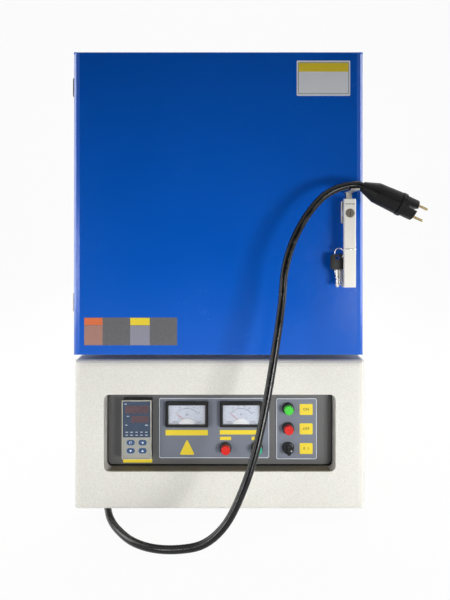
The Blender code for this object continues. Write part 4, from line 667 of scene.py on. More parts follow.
def recipes():
    """Every finish by name, each made when it is first asked for"""
    paint = bpy.context.scene.furnace_paint
    cord = bpy.context.scene.furnace_cord
    chamber = bpy.context.scene.furnace_chamber
    return {
        "Cabinet Coat": lambda n: coated(n, paint.cabinet_white, specks=0.45, scale=760, rough=0.46, depth=0.00012,
                                         bare=tone(240, 239, 232), wear=0.25),
        "Door Coat": lambda n: coated(n, paint.door_blue, speck=tone(20, 120, 225), specks=0.05, scale=520, rough=0.20,
                                      depth=0.00005, bare=tone(70, 140, 220), wear=0.35, dust=0.05,
                                      Specular_IOR_Level=0.35),
        "Fascia Coat": lambda n: coated(n, paint.fascia_grey, speck=tone(150, 150, 150), specks=0.10, scale=1100,
                                        rough=0.40, bare=tone(150, 150, 150), wear=0.15, dust=0.1),
        "Plate Film": lambda n: coated(n, paint.plate_grey, specks=0.04, scale=1400, rough=0.46, depth=0.00002,
                                       bare=tone(190, 195, 205), wear=0.2, dust=0.0),
        # Olive ledge colour: painted shade of the recess floor.
        "Sill Shade Coat": lambda n: coated(n, paint.sill_olive, specks=0.12, rough=0.42),
        "Yellow Film": lambda n: printed(n, paint.label_yellow, 0.06, 0.42, 1500, bare=tone(250, 236, 130)),
        "Silver Film": lambda n: printed(n, paint.label_silver, 0.05, 0.36, 1500, Metallic=0.15),
        "Orange Film": lambda n: printed(n, paint.label_orange, 0.06, 0.42, 1500),
        "Slate Film": lambda n: printed(n, paint.label_slate, 0.10),
        "Lilac Film": lambda n: printed(n, tone(140, 140, 155), 0.08),
        "Rose Film": lambda n: printed(n, tone(168, 122, 108), 0.08),
        "White Line": lambda n: printed(n, paint.line_white, 0.03, 0.5, 1500),
        "Ink": lambda n: printed(n, tone(34, 34, 36), 0.04, 0.5, 1500, wear=0),
        "Dial Card": lambda n: printed(n, tone(192, 201, 220), 0.04, 0.5, 1500, wear=0),
        "Pivot Cover": lambda n: plastic(n, tone(236, 238, 240), rough=0.35, variation=0.03, wear=0),
        "Black Plastic": lambda n: plastic(n, tone(24, 24, 26), rough=0.38, Specular_IOR_Level=0.35),
        "Gloss Black": lambda n: plastic(n, tone(16, 16, 18), rough=0.22, wear=0.25, Specular_IOR_Level=0.35),
        "Shadow Black": lambda n: plastic(n, tone(10, 10, 11), rough=0.6, wear=0.05, Specular_IOR_Level=0.15),
        "Controller Bezel": lambda n: plastic(n, tone(196, 194, 180), rough=0.42, variation=0.05),
        "Controller Field": lambda n: plastic(n, tone(160, 160, 152), rough=0.5, variation=0.05),
        "Display Blue": lambda n: plastic(n, tone(44, 63, 88), rough=0.22, variation=0.10, wear=0, dust=0,
                                          Coat_Weight=0.3),
        "Segment Off": lambda n: lit(n, tone(112, 70, 66), tone(150, 50, 36), 0.06),
        "Segment Bed": lambda n: plastic(n, tone(62, 62, 76), rough=0.3, variation=0.12, wear=0, dust=0),
        "Lamp Dash": lambda n: lit(n, tone(206, 220, 232), tone(200, 216, 232), 0.12),
        "Key Blue": lambda n: plastic(n, tone(44, 78, 122), rough=0.34, variation=0.08),
        "Key White": lambda n: plastic(n, tone(232, 236, 240), rough=0.45, variation=0.03, wear=0, dust=0),
        "Green Cap": lambda n: plastic(n, tone(70, 205, 62), rough=0.30, variation=0.06, wear=0.2, dust=0),
        "Red Cap": lambda n: plastic(n, tone(214, 42, 34), rough=0.30, variation=0.06, wear=0.2, dust=0,
                                     Specular_IOR_Level=0.3),
        "Teal Cap": lambda n: plastic(n, tone(48, 172, 132), rough=0.30, variation=0.06, wear=0.2, dust=0),
        "Needle Red": lambda n: plastic(n, tone(196, 40, 30), rough=0.4, wear=0, dust=0),
        "Handle Alloy": lambda n: coated(n, tone(238, 235, 226), speck=tone(250, 249, 244), specks=0.10, scale=1200,
                                         rough=0.38, depth=0.00002, bare=tone(250, 250, 246), wear=0.8, dust=0.0,
                                         Metallic=0.1),
        "Zinc": lambda n: metal(n, tone(196, 194, 188), tone(150, 146, 138), rough=0.34, wear=0.5),
        "Steel": lambda n: metal(n, tone(206, 205, 202), tone(158, 156, 150), rough=0.28, wear=0.4),
        "Bright Steel": lambda n: metal(n, tone(226, 225, 222), tone(186, 184, 178), rough=0.18, scale=300, wear=0.3),
        "Cylinder Metal": lambda n: metal(n, tone(118, 112, 100), tone(84, 80, 70), stretch=(1, 1, 1), scale=260,
                                          rough=0.36, wear=0.6),
        "Dark Metal": lambda n: metal(n, tone(96, 94, 92), tone(66, 64, 62), rough=0.42, wear=0.4),
        "Galvanised": lambda n: metal(n, tone(186, 188, 188), tone(148, 152, 154), stretch=(1, 1, 1), scale=60,
                                      rough=0.40),
        "Mill Sheet": lambda n: metal(n, tone(184, 185, 183), tone(176, 177, 175), stretch=(1, 1, 1), scale=24,
                                      rough=0.52, wear=0.1),
        "Copper": lambda n: metal(n, tone(198, 116, 72), tone(150, 84, 52), stretch=(1, 1, 12), scale=260, rough=0.34),
        "Brass": lambda n: metal(n, tone(188, 170, 124), tone(140, 122, 84), rough=0.26, wear=0.3),
        "Element": lambda n: metal(n, tone(112, 108, 106), tone(78, 74, 72), stretch=(1, 1, 0.3), scale=240, rough=0.52,
                                   depth=0.0001),
        "Rubber": lambda n: plastic(n, cord.rubber, rough=0.42, scale=900, depth=0.00008, variation=0.2, wear=0.10,
                                    dust=0.02, Specular_IOR_Level=0.22),
        "Cord Sheath": lambda n: plastic(n, cord.rubber, rough=0.22, scale=500, depth=0.00006, variation=0.2, wear=0,
                                         dust=0.0, Specular_IOR_Level=0.3),
        "Key Head": lambda n: plastic(n, tone(12, 11, 11), rough=0.55, variation=0.15, wear=0.35),
        "Fibre Board": lambda n: board(n, chamber.fibre_white),
        "Fibre Plug": lambda n: board(n, chamber.fibre_white, scorch=0.15),
        "Hearth": lambda n: board(n, chamber.hearth_cream, scorch=0.5, depth=0.0002),
        "Clear Cover": lambda n: clear(n, tone(250, 251, 252)),
        "Transformer Iron": lambda n: metal(n, tone(92, 90, 90), tone(66, 62, 60), stretch=(1, 40, 1), scale=60,
                                            rough=0.5),
        "Circuit Board": lambda n: plastic(n, tone(40, 96, 64), rough=0.35),
    }


def finish(name):
    """The material of a finish"""
    return bpy.data.materials.get(name) or recipes()[name](name)


def dress(name, *nodes):
    """Gives a finish to solids that keep their shape"""
    for node in nodes:
        for slot in frame["nodes"][node].material_slots:
            slot.material = finish(name)


class Maker:
    """What every operator here shares"""

    bl_options = {"REGISTER", "UNDO"}

    def execute(self, context):
        self.make(context.scene)
        return {"FINISHED"}


# ---- stage -----------------------------------------------------------------


def lamp(name, place_at, aim, size, power, spread_angle=180):
    """A square soft lamp aimed at a point"""
    light = bpy.data.lights.new(name, "AREA")
    light.shape, light.size, light.size_y, light.energy = "RECTANGLE", size[0], size[1], power
    light.spread = radians(spread_angle)
    held = bpy.data.objects.new(name, light)
    held.location = place_at
    held.rotation_euler = (Vector(aim) - Vector(place_at)).to_track_quat("-Z", "Y").to_euler()
    bpy.context.scene.collection.objects.link(held)


def sight_share(tree):
    """One on camera, mirror and see-through rays, zero on all others"""
    ray = place(tree, "LightPath").outputs
    straight = calc(tree, "MAXIMUM", ray["Is Camera Ray"], ray["Is Glossy Ray"])
    return calc(tree, "MAXIMUM", straight, ray["Is Transmission Ray"])


class FURNACE_OT_stage(Maker, bpy.types.Operator):
    """Camera, lamps, paper floor and room light"""

    bl_idname = "furnace.stage"
    bl_label = "Stage"

    def make(self, scene):
        stage = scene.furnace_stage
        view = bpy.data.cameras.new("Camera")
        view.lens, view.shift_y, view.clip_start = stage.lens, stage.frame_shift, 0.05
        camera = bpy.data.objects.new("Camera", view)
        camera.location = at(stage.camera_side, -stage.camera_reach, stage.camera_height)
        camera.rotation_euler = (pi / 2, 0, 0)
        scene.collection.objects.link(camera)
        scene.camera = camera
        scene.view_settings.view_transform = "Standard"

        lamp("Left Low Lamp", at(-1.15, -1.15, 0.34), at(-0.05, 0, 0.12), (0.6, 0.35), stage.low_lamp * 0.36, 58)
        lamp("Right Low Lamp", at(0.86, -1.25, 0.20), at(0.03, 0, 0.12), (0.5, 0.26), stage.low_lamp * 0.64, 58)
        for side, name in ((-1, "Left"), (1, "Right")):
            lamp(name + " Lamp", at(1.7 * side, 0.3, 0.7), at(0, 0.3, 0.35), (0.8, 1.2), stage.side_lamp)
        lamp("Back Lamp", at(0, 2.1, 0.9), at(0, 0.5, 0.35), (1.4, 1.0), stage.back_lamp)
        lamp("Top Lamp", at(0, 0.7, 2.0), at(0, 0.3, 0.3), (1.3, 1.0), stage.top_lamp)

        curtain, tree, slots = blank("Curtain", Roughness=1.0)
        slots["Base Color"].default_value = tone(60, 60, 62)
        cloth = Stock()
        cloth.add([at(x, -2.3, z) for x, z in ((-2.2, 0), (2.2, 0), (2.2, 1.9), (-2.2, 1.9))], [(0, 1, 2, 3)], curtain)
        screen = cloth.made("curtain", None)
        screen.visible_camera = screen.visible_diffuse = screen.visible_shadow = screen.visible_transmission = False

        paper, tree, slots = blank("Paper", Roughness=0.9)
        slots["Base Color"].default_value = stage.floor_colour
        shader = tree.nodes["Principled BSDF"]
        seen = sight_share(tree)
        glow = place(tree, "Emission", {"Color": (1, 1, 1, 1), "Strength": 1.0})
        share = calc(tree, "MULTIPLY", seen, stage.paper_glow)
        both = place(tree, "MixShader", {0: share, 1: shader.outputs[0], 2: glow.outputs[0]})
        tree.links.new(both.outputs[0], tree.nodes["Material Output"].inputs[0])
        sweep = [(-7.0, 0.0), (1.6, 0.0)]
        for step in range(1, 13):
            angle = pi / 2 * step / 12
            sweep.append((1.6 + 1.2 * sin(angle), 1.2 - 1.2 * cos(angle)))
        sweep.append((2.8, 6.0))
        sheet = Stock()
        points = [Vector((side, home.y + y, z)) for y, z in sweep for side in (-7.0, 7.0)]
        faces = [(2 * i, 2 * i + 1, 2 * i + 3, 2 * i + 2) for i in range(len(sweep) - 1)]
        sheet.add(points, faces, paper)
        sheet.made("paper", None, crease=60)

        world = bpy.data.worlds.new("Room")
        scene.world = world
        world.use_nodes = True
        tree = world.node_tree
        seen = sight_share(tree)
        tree.nodes["Background"].inputs["Color"].default_value = (1, 1, 1, 1)
        strength = calc(tree, "ADD", calc(tree, "MULTIPLY", seen, 1 - stage.room_light), stage.room_light)
        tree.links.new(strength, tree.nodes["Background"].inputs["Strength"])


# ---- mains lead ------------------------------------------------------------

GLAND_TIP = (-0.190, 0.6064, 0.112)
UNDER_ROUTE = [
    (-0.1902, 0.6350, 0.1075), (-0.1910, 0.6520, 0.0920), (-0.1922, 0.6590, 0.0680), (-0.1940, 0.6560, 0.0420),
    (-0.1960, 0.6420, 0.0190), (-0.1978, 0.6190, 0.0085), (-0.1990, 0.5900, 0.0062), (-0.2000, 0.5500, 0.0062),
    (-0.2000, 0.4500, 0.0062), (-0.1995, 0.3500, 0.0062), (-0.1990, 0.2500, 0.0062), (-0.1985, 0.1500, 0.0062),
    (-0.1970, 0.0900, 0.0062), (-0.1920, 0.0500, 0.0062),
]
FREE_ROUTE = [
    (-0.1862, 0.0260, 0.0062), (-0.1760, -0.0050, 0.0062), (-0.1590, -0.0380, 0.0062), (-0.1310, -0.0740, 0.0062),
    (-0.0960, -0.0990, 0.0085), (-0.0560, -0.1140, 0.0150), (-0.0200, -0.1210, 0.0270), (0.0100, -0.1240, 0.0560),
    (0.0330, -0.1210, 0.1000), (0.0510, -0.1110, 0.1480), (0.0665, -0.0980, 0.2080), (0.0800, -0.0850, 0.2760),
    (0.0930, -0.0730, 0.3560), (0.0990, -0.0680, 0.4120), (0.1130, -0.0620, 0.4570), (0.1350, -0.0560, 0.4960),
    (0.1600, -0.0510, 0.5240), (0.1840, -0.0480, 0.5372), (0.2030, -0.0465, 0.5415),
]
PLUG_NECK = (0.2206, -0.0460, 0.5399)
PLUG_DIP = radians(24.8)
LEAD_END = 0.006


def cord_route():
    """The lead's centre line, from the gland's tip to the plug's neck"""
    start, end = at(*GLAND_TIP), at(*PLUG_NECK)
    lead_in = start + Vector((0, LEAD_END, 0))
    lead_out = end - Vector((cos(PLUG_DIP), 0, -sin(PLUG_DIP))) * LEAD_END
    points = [start, lead_in, *(at(*p) for p in UNDER_ROUTE), *(at(*p) for p in FREE_ROUTE), lead_out, end]
    return smooth_path(points, 0.008)


class FURNACE_OT_cord(Maker, bpy.types.Operator):
    """Mains lead from its gland under the furnace, up over the front and on to the plug"""

    bl_idname = "furnace.cord"
    bl_label = "Mains Lead"

    def make(self, scene):
        settings = scene.furnace_cord
        path = cord_route()
        lead = Stock()
        lead.tube(path, settings.radius, finish("Cord Sheath"), settings.sides)
        piece = lead.made("mains_lead", None, crease=60)
        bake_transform(piece)
        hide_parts("cord_under", "cord_free")
        dress("Rubber", "plug_body", "cord_gland")
        dress("Brass", "plug_pins")


# ---- coated cabinet --------------------------------------------------------


class FURNACE_OT_cabinet(Maker, bpy.types.Operator):
    """Coats of the base, cabinet and door, and the parts inside them"""

    bl_idname = "furnace.cabinet"
    bl_label = "Cabinet and Door"

    def make(self, scene):
        dress("Cabinet Coat", "base_shell", "base_back_panel", "upper_shell", "top_cover", "upper_back_panel")
        dress("Door Coat", "door_skin")
        dress("Fascia Coat", "console_fascia")
        dress("Plate Film", "meter_plate", "switch_plate")
        # The sill gets the olive colour, which is painted shade of the recess floor.
        dress("Sill Shade Coat", "console_sill")
        dress("Galvanised", "base_floor", "inner_casing")
        dress("Mill Sheet", "door_liner", "mouth_frame")
        dress("Steel", "low_hinge_pin_half", "high_hinge_pin_half", "low_hinge_door_half",
              "high_hinge_door_half", "lock_cam")
        dress("Black Plastic", "fan_frame", "fan_rotor", "ammeter_case", "voltmeter_case", "controller_case",
              "lock_knob")
        dress("Transformer Iron", "transformer_core")
        dress("Copper", "transformer_coil")
        dress("Circuit Board", "power_board")


class FURNACE_OT_chamber(Maker, bpy.types.Operator):
    """Fibre lining, hearth, heating elements and thermocouple"""

    bl_idname = "furnace.chamber"
    bl_label = "Chamber"

    def make(self, scene):
        dress("Fibre Board", "insulation_floor", "insulation_left", "insulation_right", "insulation_back",
              "insulation_roof")
        dress("Fibre Plug", "door_insulation")
        dress("Hearth", "hearth_plate")
        dress("Element", "left_elements", "right_elements")
        dress("Dark Metal", "thermocouple")


# ---- console ---------------------------------------------------------------


PLATE_FRONT = front + 0.0217
FASCIA_FRONT = front + 0.023


def plate_line(name, node):
    """The thin light outline printed near a console plate's edge"""
    low, high = (Vector(corner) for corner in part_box(node))
    centre = (low + high) / 2
    settings = bpy.context.scene.furnace_console
    inset, stroke = 0.0006, 2 * settings.line_width
    width, height = high.x - low.x - 2 * inset, high.z - low.z - 2 * inset
    line = Stock()
    line.frame(rounded(width, height, 0.0030), rounded(width - stroke, height - stroke, 0.0024), centre.x, centre.z,
               PLATE_FRONT - LIFT, settings.film, finish("White Line"))
    line.made(name, "cabinet", slot="plate_grey")


class FURNACE_OT_console_plates(Maker, bpy.types.Operator):
    """Outlines of the two plates, plain yellow strips, squares and the bare three-cornered plate"""

    bl_idname = "furnace.console_plates"
    bl_label = "Console Plates"

    def make(self, scene):
        film = scene.furnace_console.film
        for node in ("meter_plate", "switch_plate"):
            plate_line(node + "_line", node)
        yellow = finish("Yellow Film")

        def strip(name, x0, x1, z0, z1, depth, radius=0.0009):
            label = Stock()
            label.plate(rounded(x1 - x0, z1 - z0, radius, 4), (x0 + x1) / 2, (z0 + z1) / 2, depth - LIFT, film,
                        yellow)
            return label.made(name, "cabinet", slot="plate_grey")

        low = corners("meter_plate")[0]
        for name, x0, x1, z0, z1 in (
            ("ammeter_strip", 0.0111, 0.0815, 0.0380, 0.0472), ("voltmeter_strip", 0.1011, 0.1712, 0.0395, 0.0470),
            ("heat_stop_strip", 0.1016, 0.1201, 0.0302, 0.0359), ("heat_start_strip", 0.1538, 0.1712, 0.0302, 0.0359),
        ):
            strip(name, low.x + x0, low.x + x1, low.z + z0, low.z + z1, PLATE_FRONT)
        triangle = Stock()
        triangle.plate(polygon([(0.0126, -0.0131), (0, 0.0131), (-0.0126, -0.0131)], 0.0016), low.x + 0.0469,
                       low.z + 0.0189, PLATE_FRONT - LIFT, film, yellow)
        triangle.made("three_cornered_plate", "cabinet", slot="plate_grey")
        case_low, case_high = corners("controller_case")
        strip("controller_strip", case_low.x - 0.0015, case_high.x - 0.0008, case_low.z - 0.0127, case_low.z - 0.0062,
              FASCIA_FRONT)
        low = corners("switch_plate")[0]
        ink = finish("Ink")
        for name, z0, z1, text in (
            ("power_on_square", 0.0737, 0.0920, "ON"), ("power_off_square", 0.0415, 0.0598, "OFF"),
            ("lock_square", 0.0090, 0.0271, "0  1"),
        ):
            x, z = low.x + 0.0500, low.z + (z0 + z1) / 2
            label = Stock()
            label.plate(rounded(0.0216, z1 - z0, 0.0016, 4), x, z, PLATE_FRONT - LIFT, film, yellow)
            label.words(text, 0.0062, x, z, PLATE_FRONT - film, film, ink)
            label.made(name, "cabinet", slot="plate_grey")
        # Black band round the insert's edge: painted shadow, not a real seal.
        self.painted_shadow_edge()

    def painted_shadow_edge(self):
        """A black band round the edge of the console insert, which follows its rolled sides: painted shadow of the
        rolled edge and the gap under it
        """
        low, high = corners("console_fascia")
        centre, half = (low + high) / 2, (high.x - low.x) / 2
        roll = 0.008

        def line(width, height, radius, drop, proud):
            points = []
            for across, up in rounded(width, height, radius, 6):
                past = min(roll, max(0.0, abs(across) - (half - roll)))
                depth = low.y + roll - sqrt(roll**2 - past**2) - proud
                points.append(Vector((centre.x + across, depth, centre.z + up - drop)))
            return points

        width, height = high.x - low.x, high.z - low.z
        shadow_band = Stock()
        shadow_band.loft(
            [line(width - 0.0003, height - 0.0003, 0.0097, 0, -0.0002),
             line(width - 0.0004, height - 0.0004, 0.0097, 0, 0.0003),
             line(width - 0.0024, height - 0.0046, 0.0087, -0.0012, 0.0003),
             line(width - 0.0024, height - 0.0046, 0.0087, -0.0012, -0.0002)],
            finish("Shadow Black"), loop=True,
        )
        shadow_band.made("fascia_painted_shadow", "cabinet", slot="fascia_grey")


class FURNACE_OT_switches(Maker, bpy.types.Operator):
    """Collars, caps and the turning switch"""

    bl_idname = "furnace.switches"
    bl_label = "Switches"

    def make(self, scene):
        lip = scene.furnace_console.collar_lip
        gloss = finish("Gloss Black")
        for node in ("power_on_button", "power_off_button", "heat_stop_button", "heat_start_button", "lock_knob"):
            centre = middle(node)
            collar = Stock()
            radius, proud, bore = 0.0092 + lip, 0.0075 + lip, 0.0081
            collar.turned(
                [(bore, -0.0005), (radius + 0.0004, 0.00005), (radius + 0.0004, 0.0008), (radius, 0.0012),
                 (radius, proud - 0.0012), (radius - 0.0005, proud - 0.0003), (radius - 0.0011, proud),
                 (bore + 0.0002, proud), (bore, proud - 0.0004)],
                (centre.x, PLATE_FRONT, centre.z), (0, -1, 0), gloss, 40, loop=True,
            )
            collar.made(node + "_collar", "cabinet", slot="black_plastic")
        dress("Green Cap", "power_on_button")
        dress("Red Cap", "power_off_button", "heat_stop_button")
        dress("Teal Cap", "heat_start_button")
        dress("Gloss Black", "lock_knob")
        knob = middle("lock_knob")
        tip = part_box("lock_knob")[0][1]
        dot = Stock()
        dot.turned([(0.0011, -0.0004), (0.0011, 0.0002), (0.0008, 0.0004)], (knob.x + 0.0038, tip, knob.z), (0, -1, 0),
                   finish("Key White"), 16)
        dot.made("lock_knob_dot", "lock_switch", slot="black_plastic")


def meter(prefix, letter, numbers, ticks):
    """Dial card, scale, figures, letter and pivot cover of one meter"""
    scene = bpy.context.scene
    film = scene.furnace_console.film
    reach = scene.furnace_console.arc_radius
    low, high = (Vector(corner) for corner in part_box(prefix + "_glass"))
    centre = (low + high) / 2
    face = DIAL_FACE - 0.00003
    ink = finish("Ink")
    pivot = Vector(PIVOTS[prefix])
    card = Stock()
    card.plate(rounded(high.x - low.x - 0.0002, high.z - low.z - 0.0002, 0.0012, 3), centre.x, centre.z, face, film,
               finish("Dial Card"))
    card.made(prefix + "_card", "cabinet", slot="black_plastic")
    scale = Stock()
    front_face = face - film

    def spot(angle, radius):
        return Vector((pivot.x + radius * sin(angle), front_face, pivot.z + radius * cos(angle)))

    def stroke(angle, inner, outer, width):
        near, far = spot(angle, inner), spot(angle, outer)
        across = Vector((cos(angle), 0, -sin(angle))) * width / 2
        ring = [near - across, near + across, far + across, far - across]
        scale.loft([[p + Vector((0, 0.00005, 0)) for p in ring], [p - Vector((0, film / 2, 0)) for p in ring]],
                   ink)

    half = radians(52)
    parts = 36
    inner = [spot(-half + 2 * half * i / parts, reach) for i in range(parts + 1)]
    outer = [spot(-half + 2 * half * i / parts, reach + 0.00045) for i in range(parts + 1)]
    ring = inner + list(reversed(outer))
    points = ring + [point - Vector((0, film / 2, 0)) for point in ring]
    count = parts + 1
    faces = []
    for i in range(parts):
        back, ahead = 2 * count - 1 - i, 2 * count - 2 - i
        faces.append((2 * count + i, 2 * count + i + 1, 2 * count + ahead, 2 * count + back))
    scale.add(points, faces, ink)
    for index in range(ticks + 1):
        angle = -half + 2 * half * index / ticks
        stroke(angle, reach, reach + (0.0030 if index % (ticks // (len(numbers) - 1)) == 0 else 0.0014), 0.0004)
    for index, number in enumerate(numbers):
        angle = -half + 2 * half * index / (len(numbers) - 1)
        place_at = spot(angle, reach + 0.0047)
        scale.words(number, 0.0027, place_at.x, place_at.z, front_face, film / 2, ink)
    scale.words(letter, 0.0072, pivot.x, pivot.z + 0.0125, front_face, film / 2, ink)
    for side in (-1, 1):
        for step in range(3):
            x = pivot.x + side * (0.0165 + 0.0034 * step)
            scale.plate(rounded(0.0022, 0.0009, 0.0002, 1), x, low.z + 0.0034, front_face, film / 2, ink)
        scale.plate(rounded(0.0078, 0.0004, 0.0001, 1), pivot.x + side * 0.0195, low.z + 0.0021, front_face,
                    film / 2, ink)
    scale.made(prefix + "_scale", "cabinet", slot="black_plastic")
    bulge = 0.0145
    drop = low.z + 0.0089 - bulge
    edge = []
    wide = sqrt(bulge**2 - (low.z - drop) ** 2)
    start = atan2(low.z - drop, wide)
    for step in range(17):
        angle = start + (pi - 2 * start) * step / 16
        edge.append((bulge * cos(angle), bulge * sin(angle)))
    cover = Stock()
    inner = [(a * 0.93, (low.z - drop) + (b - (low.z - drop)) * 0.92) for a, b in edge]
    cover.loft(
        [facing(edge, pivot.x, NEEDLE_FRONT - 0.0002, drop), facing(edge, pivot.x, NEEDLE_FRONT - 0.0007, drop),
         facing(inner, pivot.x, NEEDLE_FRONT - 0.0011, drop)],
        finish("Pivot Cover"),
    )
    cover.made(prefix + "_pivot_cover", "cabinet", slot="black_plastic")


DIAL_FACE = front + 0.0174
NEEDLE_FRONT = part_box("ammeter_needle")[0][1]
PIVOTS = {"ammeter": (-0.04865, -0.2357, 0.156), "voltmeter": (0.04095, -0.2357, 0.156)}


class FURNACE_OT_meters(Maker, bpy.types.Operator):
    """Cards, scales and covers of the ammeter and the voltmeter"""

    bl_idname = "furnace.meters"
    bl_label = "Meters"

    def make(self, scene):
        meter("ammeter", "A", ("0", "20", "40", "60", "80"), 20)
        meter("voltmeter", "V", ("0", "50", "100", "150", "200", "250"), 25)
        dress("Needle Red", "ammeter_needle", "voltmeter_needle")
        dress("Clear Cover", "ammeter_glass", "voltmeter_glass")


def digit(stock, x, z, width, height, stroke, depth, film, finish_on):
    """One figure of a seven-segment display, all its bars"""
    lean = 0.08
    half_w, half_h = width / 2, height / 2
    spots = {
        "a": ((-half_w, half_h), (half_w, half_h)), "g": ((-half_w, 0), (half_w, 0)),
        "d": ((-half_w, -half_h), (half_w, -half_h)), "f": ((-half_w, half_h), (-half_w, 0)),
        "b": ((half_w, half_h), (half_w, 0)), "e": ((-half_w, 0), (-half_w, -half_h)),
        "c": ((half_w, 0), (half_w, -half_h)),
    }
    for (ax, az), (bx, bz) in spots.values():
        along = Vector((bx - ax, bz - az)).normalized()
        across = Vector((-along.y, along.x)) * stroke / 2
        a, b = Vector((ax, az)) + along * stroke * 0.25, Vector((bx, bz)) - along * stroke * 0.25
        tip = along * stroke / 2
        ring = [a, a + tip + across, b - tip + across, b, b - tip - across, a + tip - across]
        flat = [(p.x + p.y * lean, p.y) for p in ring]
        stock.loft([facing(flat, x, depth, z), facing(flat, x, depth - film, z)], finish_on)


class FURNACE_OT_controller(Maker, bpy.types.Operator):
    """Bezel, display, lamps and key signs of the temperature controller"""

    bl_idname = "furnace.controller"
    bl_label = "Controller"

    def make(self, scene):
        film = scene.furnace_console.film
        low, high = (Vector(corner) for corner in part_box("controller_case"))
        centre = (low + high) / 2
        width, height, rim = high.x - low.x, high.z - low.z, 0.0016
        lip = low.y
        bed = lip + 0.0012
        bezel = Stock()
        rings = []
        for grow, radius, depth in (
            (0.0002, 0.0016, lip + 0.0018), (0.0002, 0.0016, lip + 0.0001), (-0.0008, 0.0012, lip - 0.0002),
            (0.0006 - 2 * rim, 0.0008, lip - 0.0002), (-0.0001 - 2 * rim, 0.0006, bed),
        ):
            rings.append(facing(rounded(width + grow, height + grow, radius), centre.x, depth, centre.z))
        bezel.loft(rings, finish("Controller Bezel"), caps=False)
        bezel.made("controller_bezel", "cabinet", slot="black_plastic")
        inner = width - 2 * rim
        split = high.z - 0.0605
        top = high.z - rim
        window = Stock()
        window.plate(rounded(inner, top - split, 0.0006, 3), centre.x, (top + split) / 2, bed - LIFT, 0.0004,
                     finish("Display Blue"))
        window.made("controller_window", "cabinet", slot="black_plastic")
        field = Stock()
        bottom = low.z + rim
        field.plate(rounded(inner, split - bottom, 0.0006, 3), centre.x, (split + bottom) / 2, bed - LIFT, 0.0003,
                    finish("Controller Field"))
        field.made("controller_field", "cabinet", slot="black_plastic")
        face = bed - 0.0004
        digits = Stock()
        dim = finish("Segment Off")
        bed_finish = finish("Segment Bed")
        digits.plate(rounded(0.0390, 0.0132, 0.0005, 2), low.x + 0.0248, high.z - 0.0150, face, film / 2, bed_finish)
        digits.plate(rounded(0.0292, 0.0122, 0.0005, 2), low.x + 0.0294, high.z - 0.0309, face, film / 2, bed_finish)
        rows = ((0.0105, 0.00955, 0.0150, 0.0062, 0.0096, 0.0014), (0.0187, 0.00710, 0.0309, 0.0046, 0.0086, 0.0011))
        for index in range(4):
            for first, pitch, drop, wide, tall, stroke in rows:
                digit(digits, low.x + first + pitch * index, high.z - drop, wide, tall, stroke, face - film / 2, film,
                      dim)
        digits.made("controller_digits", "cabinet", slot="black_plastic")
        marks = Stock()
        white = finish("Lamp Dash")
        for x in (0.0080, 0.0158, 0.0242, 0.0320, 0.0398):
            marks.plate(rounded(0.0040, 0.0009, 0.0003, 2), low.x + x, high.z - 0.0519, face, film, white)
            marks.plate(rounded(0.0040, 0.0009, 0.0003, 2), low.x + x, high.z - 0.0568, face, film, white)
        for x, z, wide in ((0.0062, 0.0062, 0.0034), (0.0100, 0.0262, 0.0036), (0.0073, 0.0405, 0.0032),
                           (0.0400, 0.0405, 0.0046)):
            marks.plate(rounded(wide, 0.0011, 0.0003, 2), low.x + x, high.z - z, face, film, white)
        marks.made("controller_lamps", "cabinet", slot="black_plastic")
        dress("Key Blue", "controller_cycle_key", "controller_left_key", "controller_down_key", "controller_up_key")
        white = finish("Key White")
        for node, body, turn in (
            ("controller_left_key", "left_key", 0), ("controller_down_key", "down_key", pi / 2),
            ("controller_up_key", "up_key", -pi / 2),
        ):
            key = middle(node)
            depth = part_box(node)[0][1]
            arrow = [Vector((-0.0020, 0)), Vector((0.0014, -0.0021)), Vector((0.0014, 0.0021))]
            if turn:
                arrow = [Vector((p.x * cos(turn) - p.y * sin(turn), p.x * sin(turn) + p.y * cos(turn))) for p in arrow]
            sign = Stock()
            sign.plate(polygon([tuple(p) for p in arrow], 0.0003, 2), key.x, key.z, depth, film, white)
            sign.made(node + "_sign", body, slot="key_blue")
        key = middle("controller_cycle_key")
        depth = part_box("controller_cycle_key")[0][1]
        sign = Stock()
        span = radians(300)
        ring = []
        for radius in (0.0022, 0.0015):
            angles = [span * i / 20 - radians(30) for i in range(21)]
            turn = [(radius * cos(angle), radius * sin(angle)) for angle in angles]
            ring.extend(turn if radius > 0.002 else reversed(turn))
        points = [Vector((key.x + a, depth - film, key.z + b)) for a, b in ring]
        sign.add(points, [(i, i + 1, 40 - i, 41 - i) for i in range(20)], white)
        sign.made("controller_cycle_key_sign", "cycle_key", slot="key_blue")


# ---- door ------------------------------------------------------------------


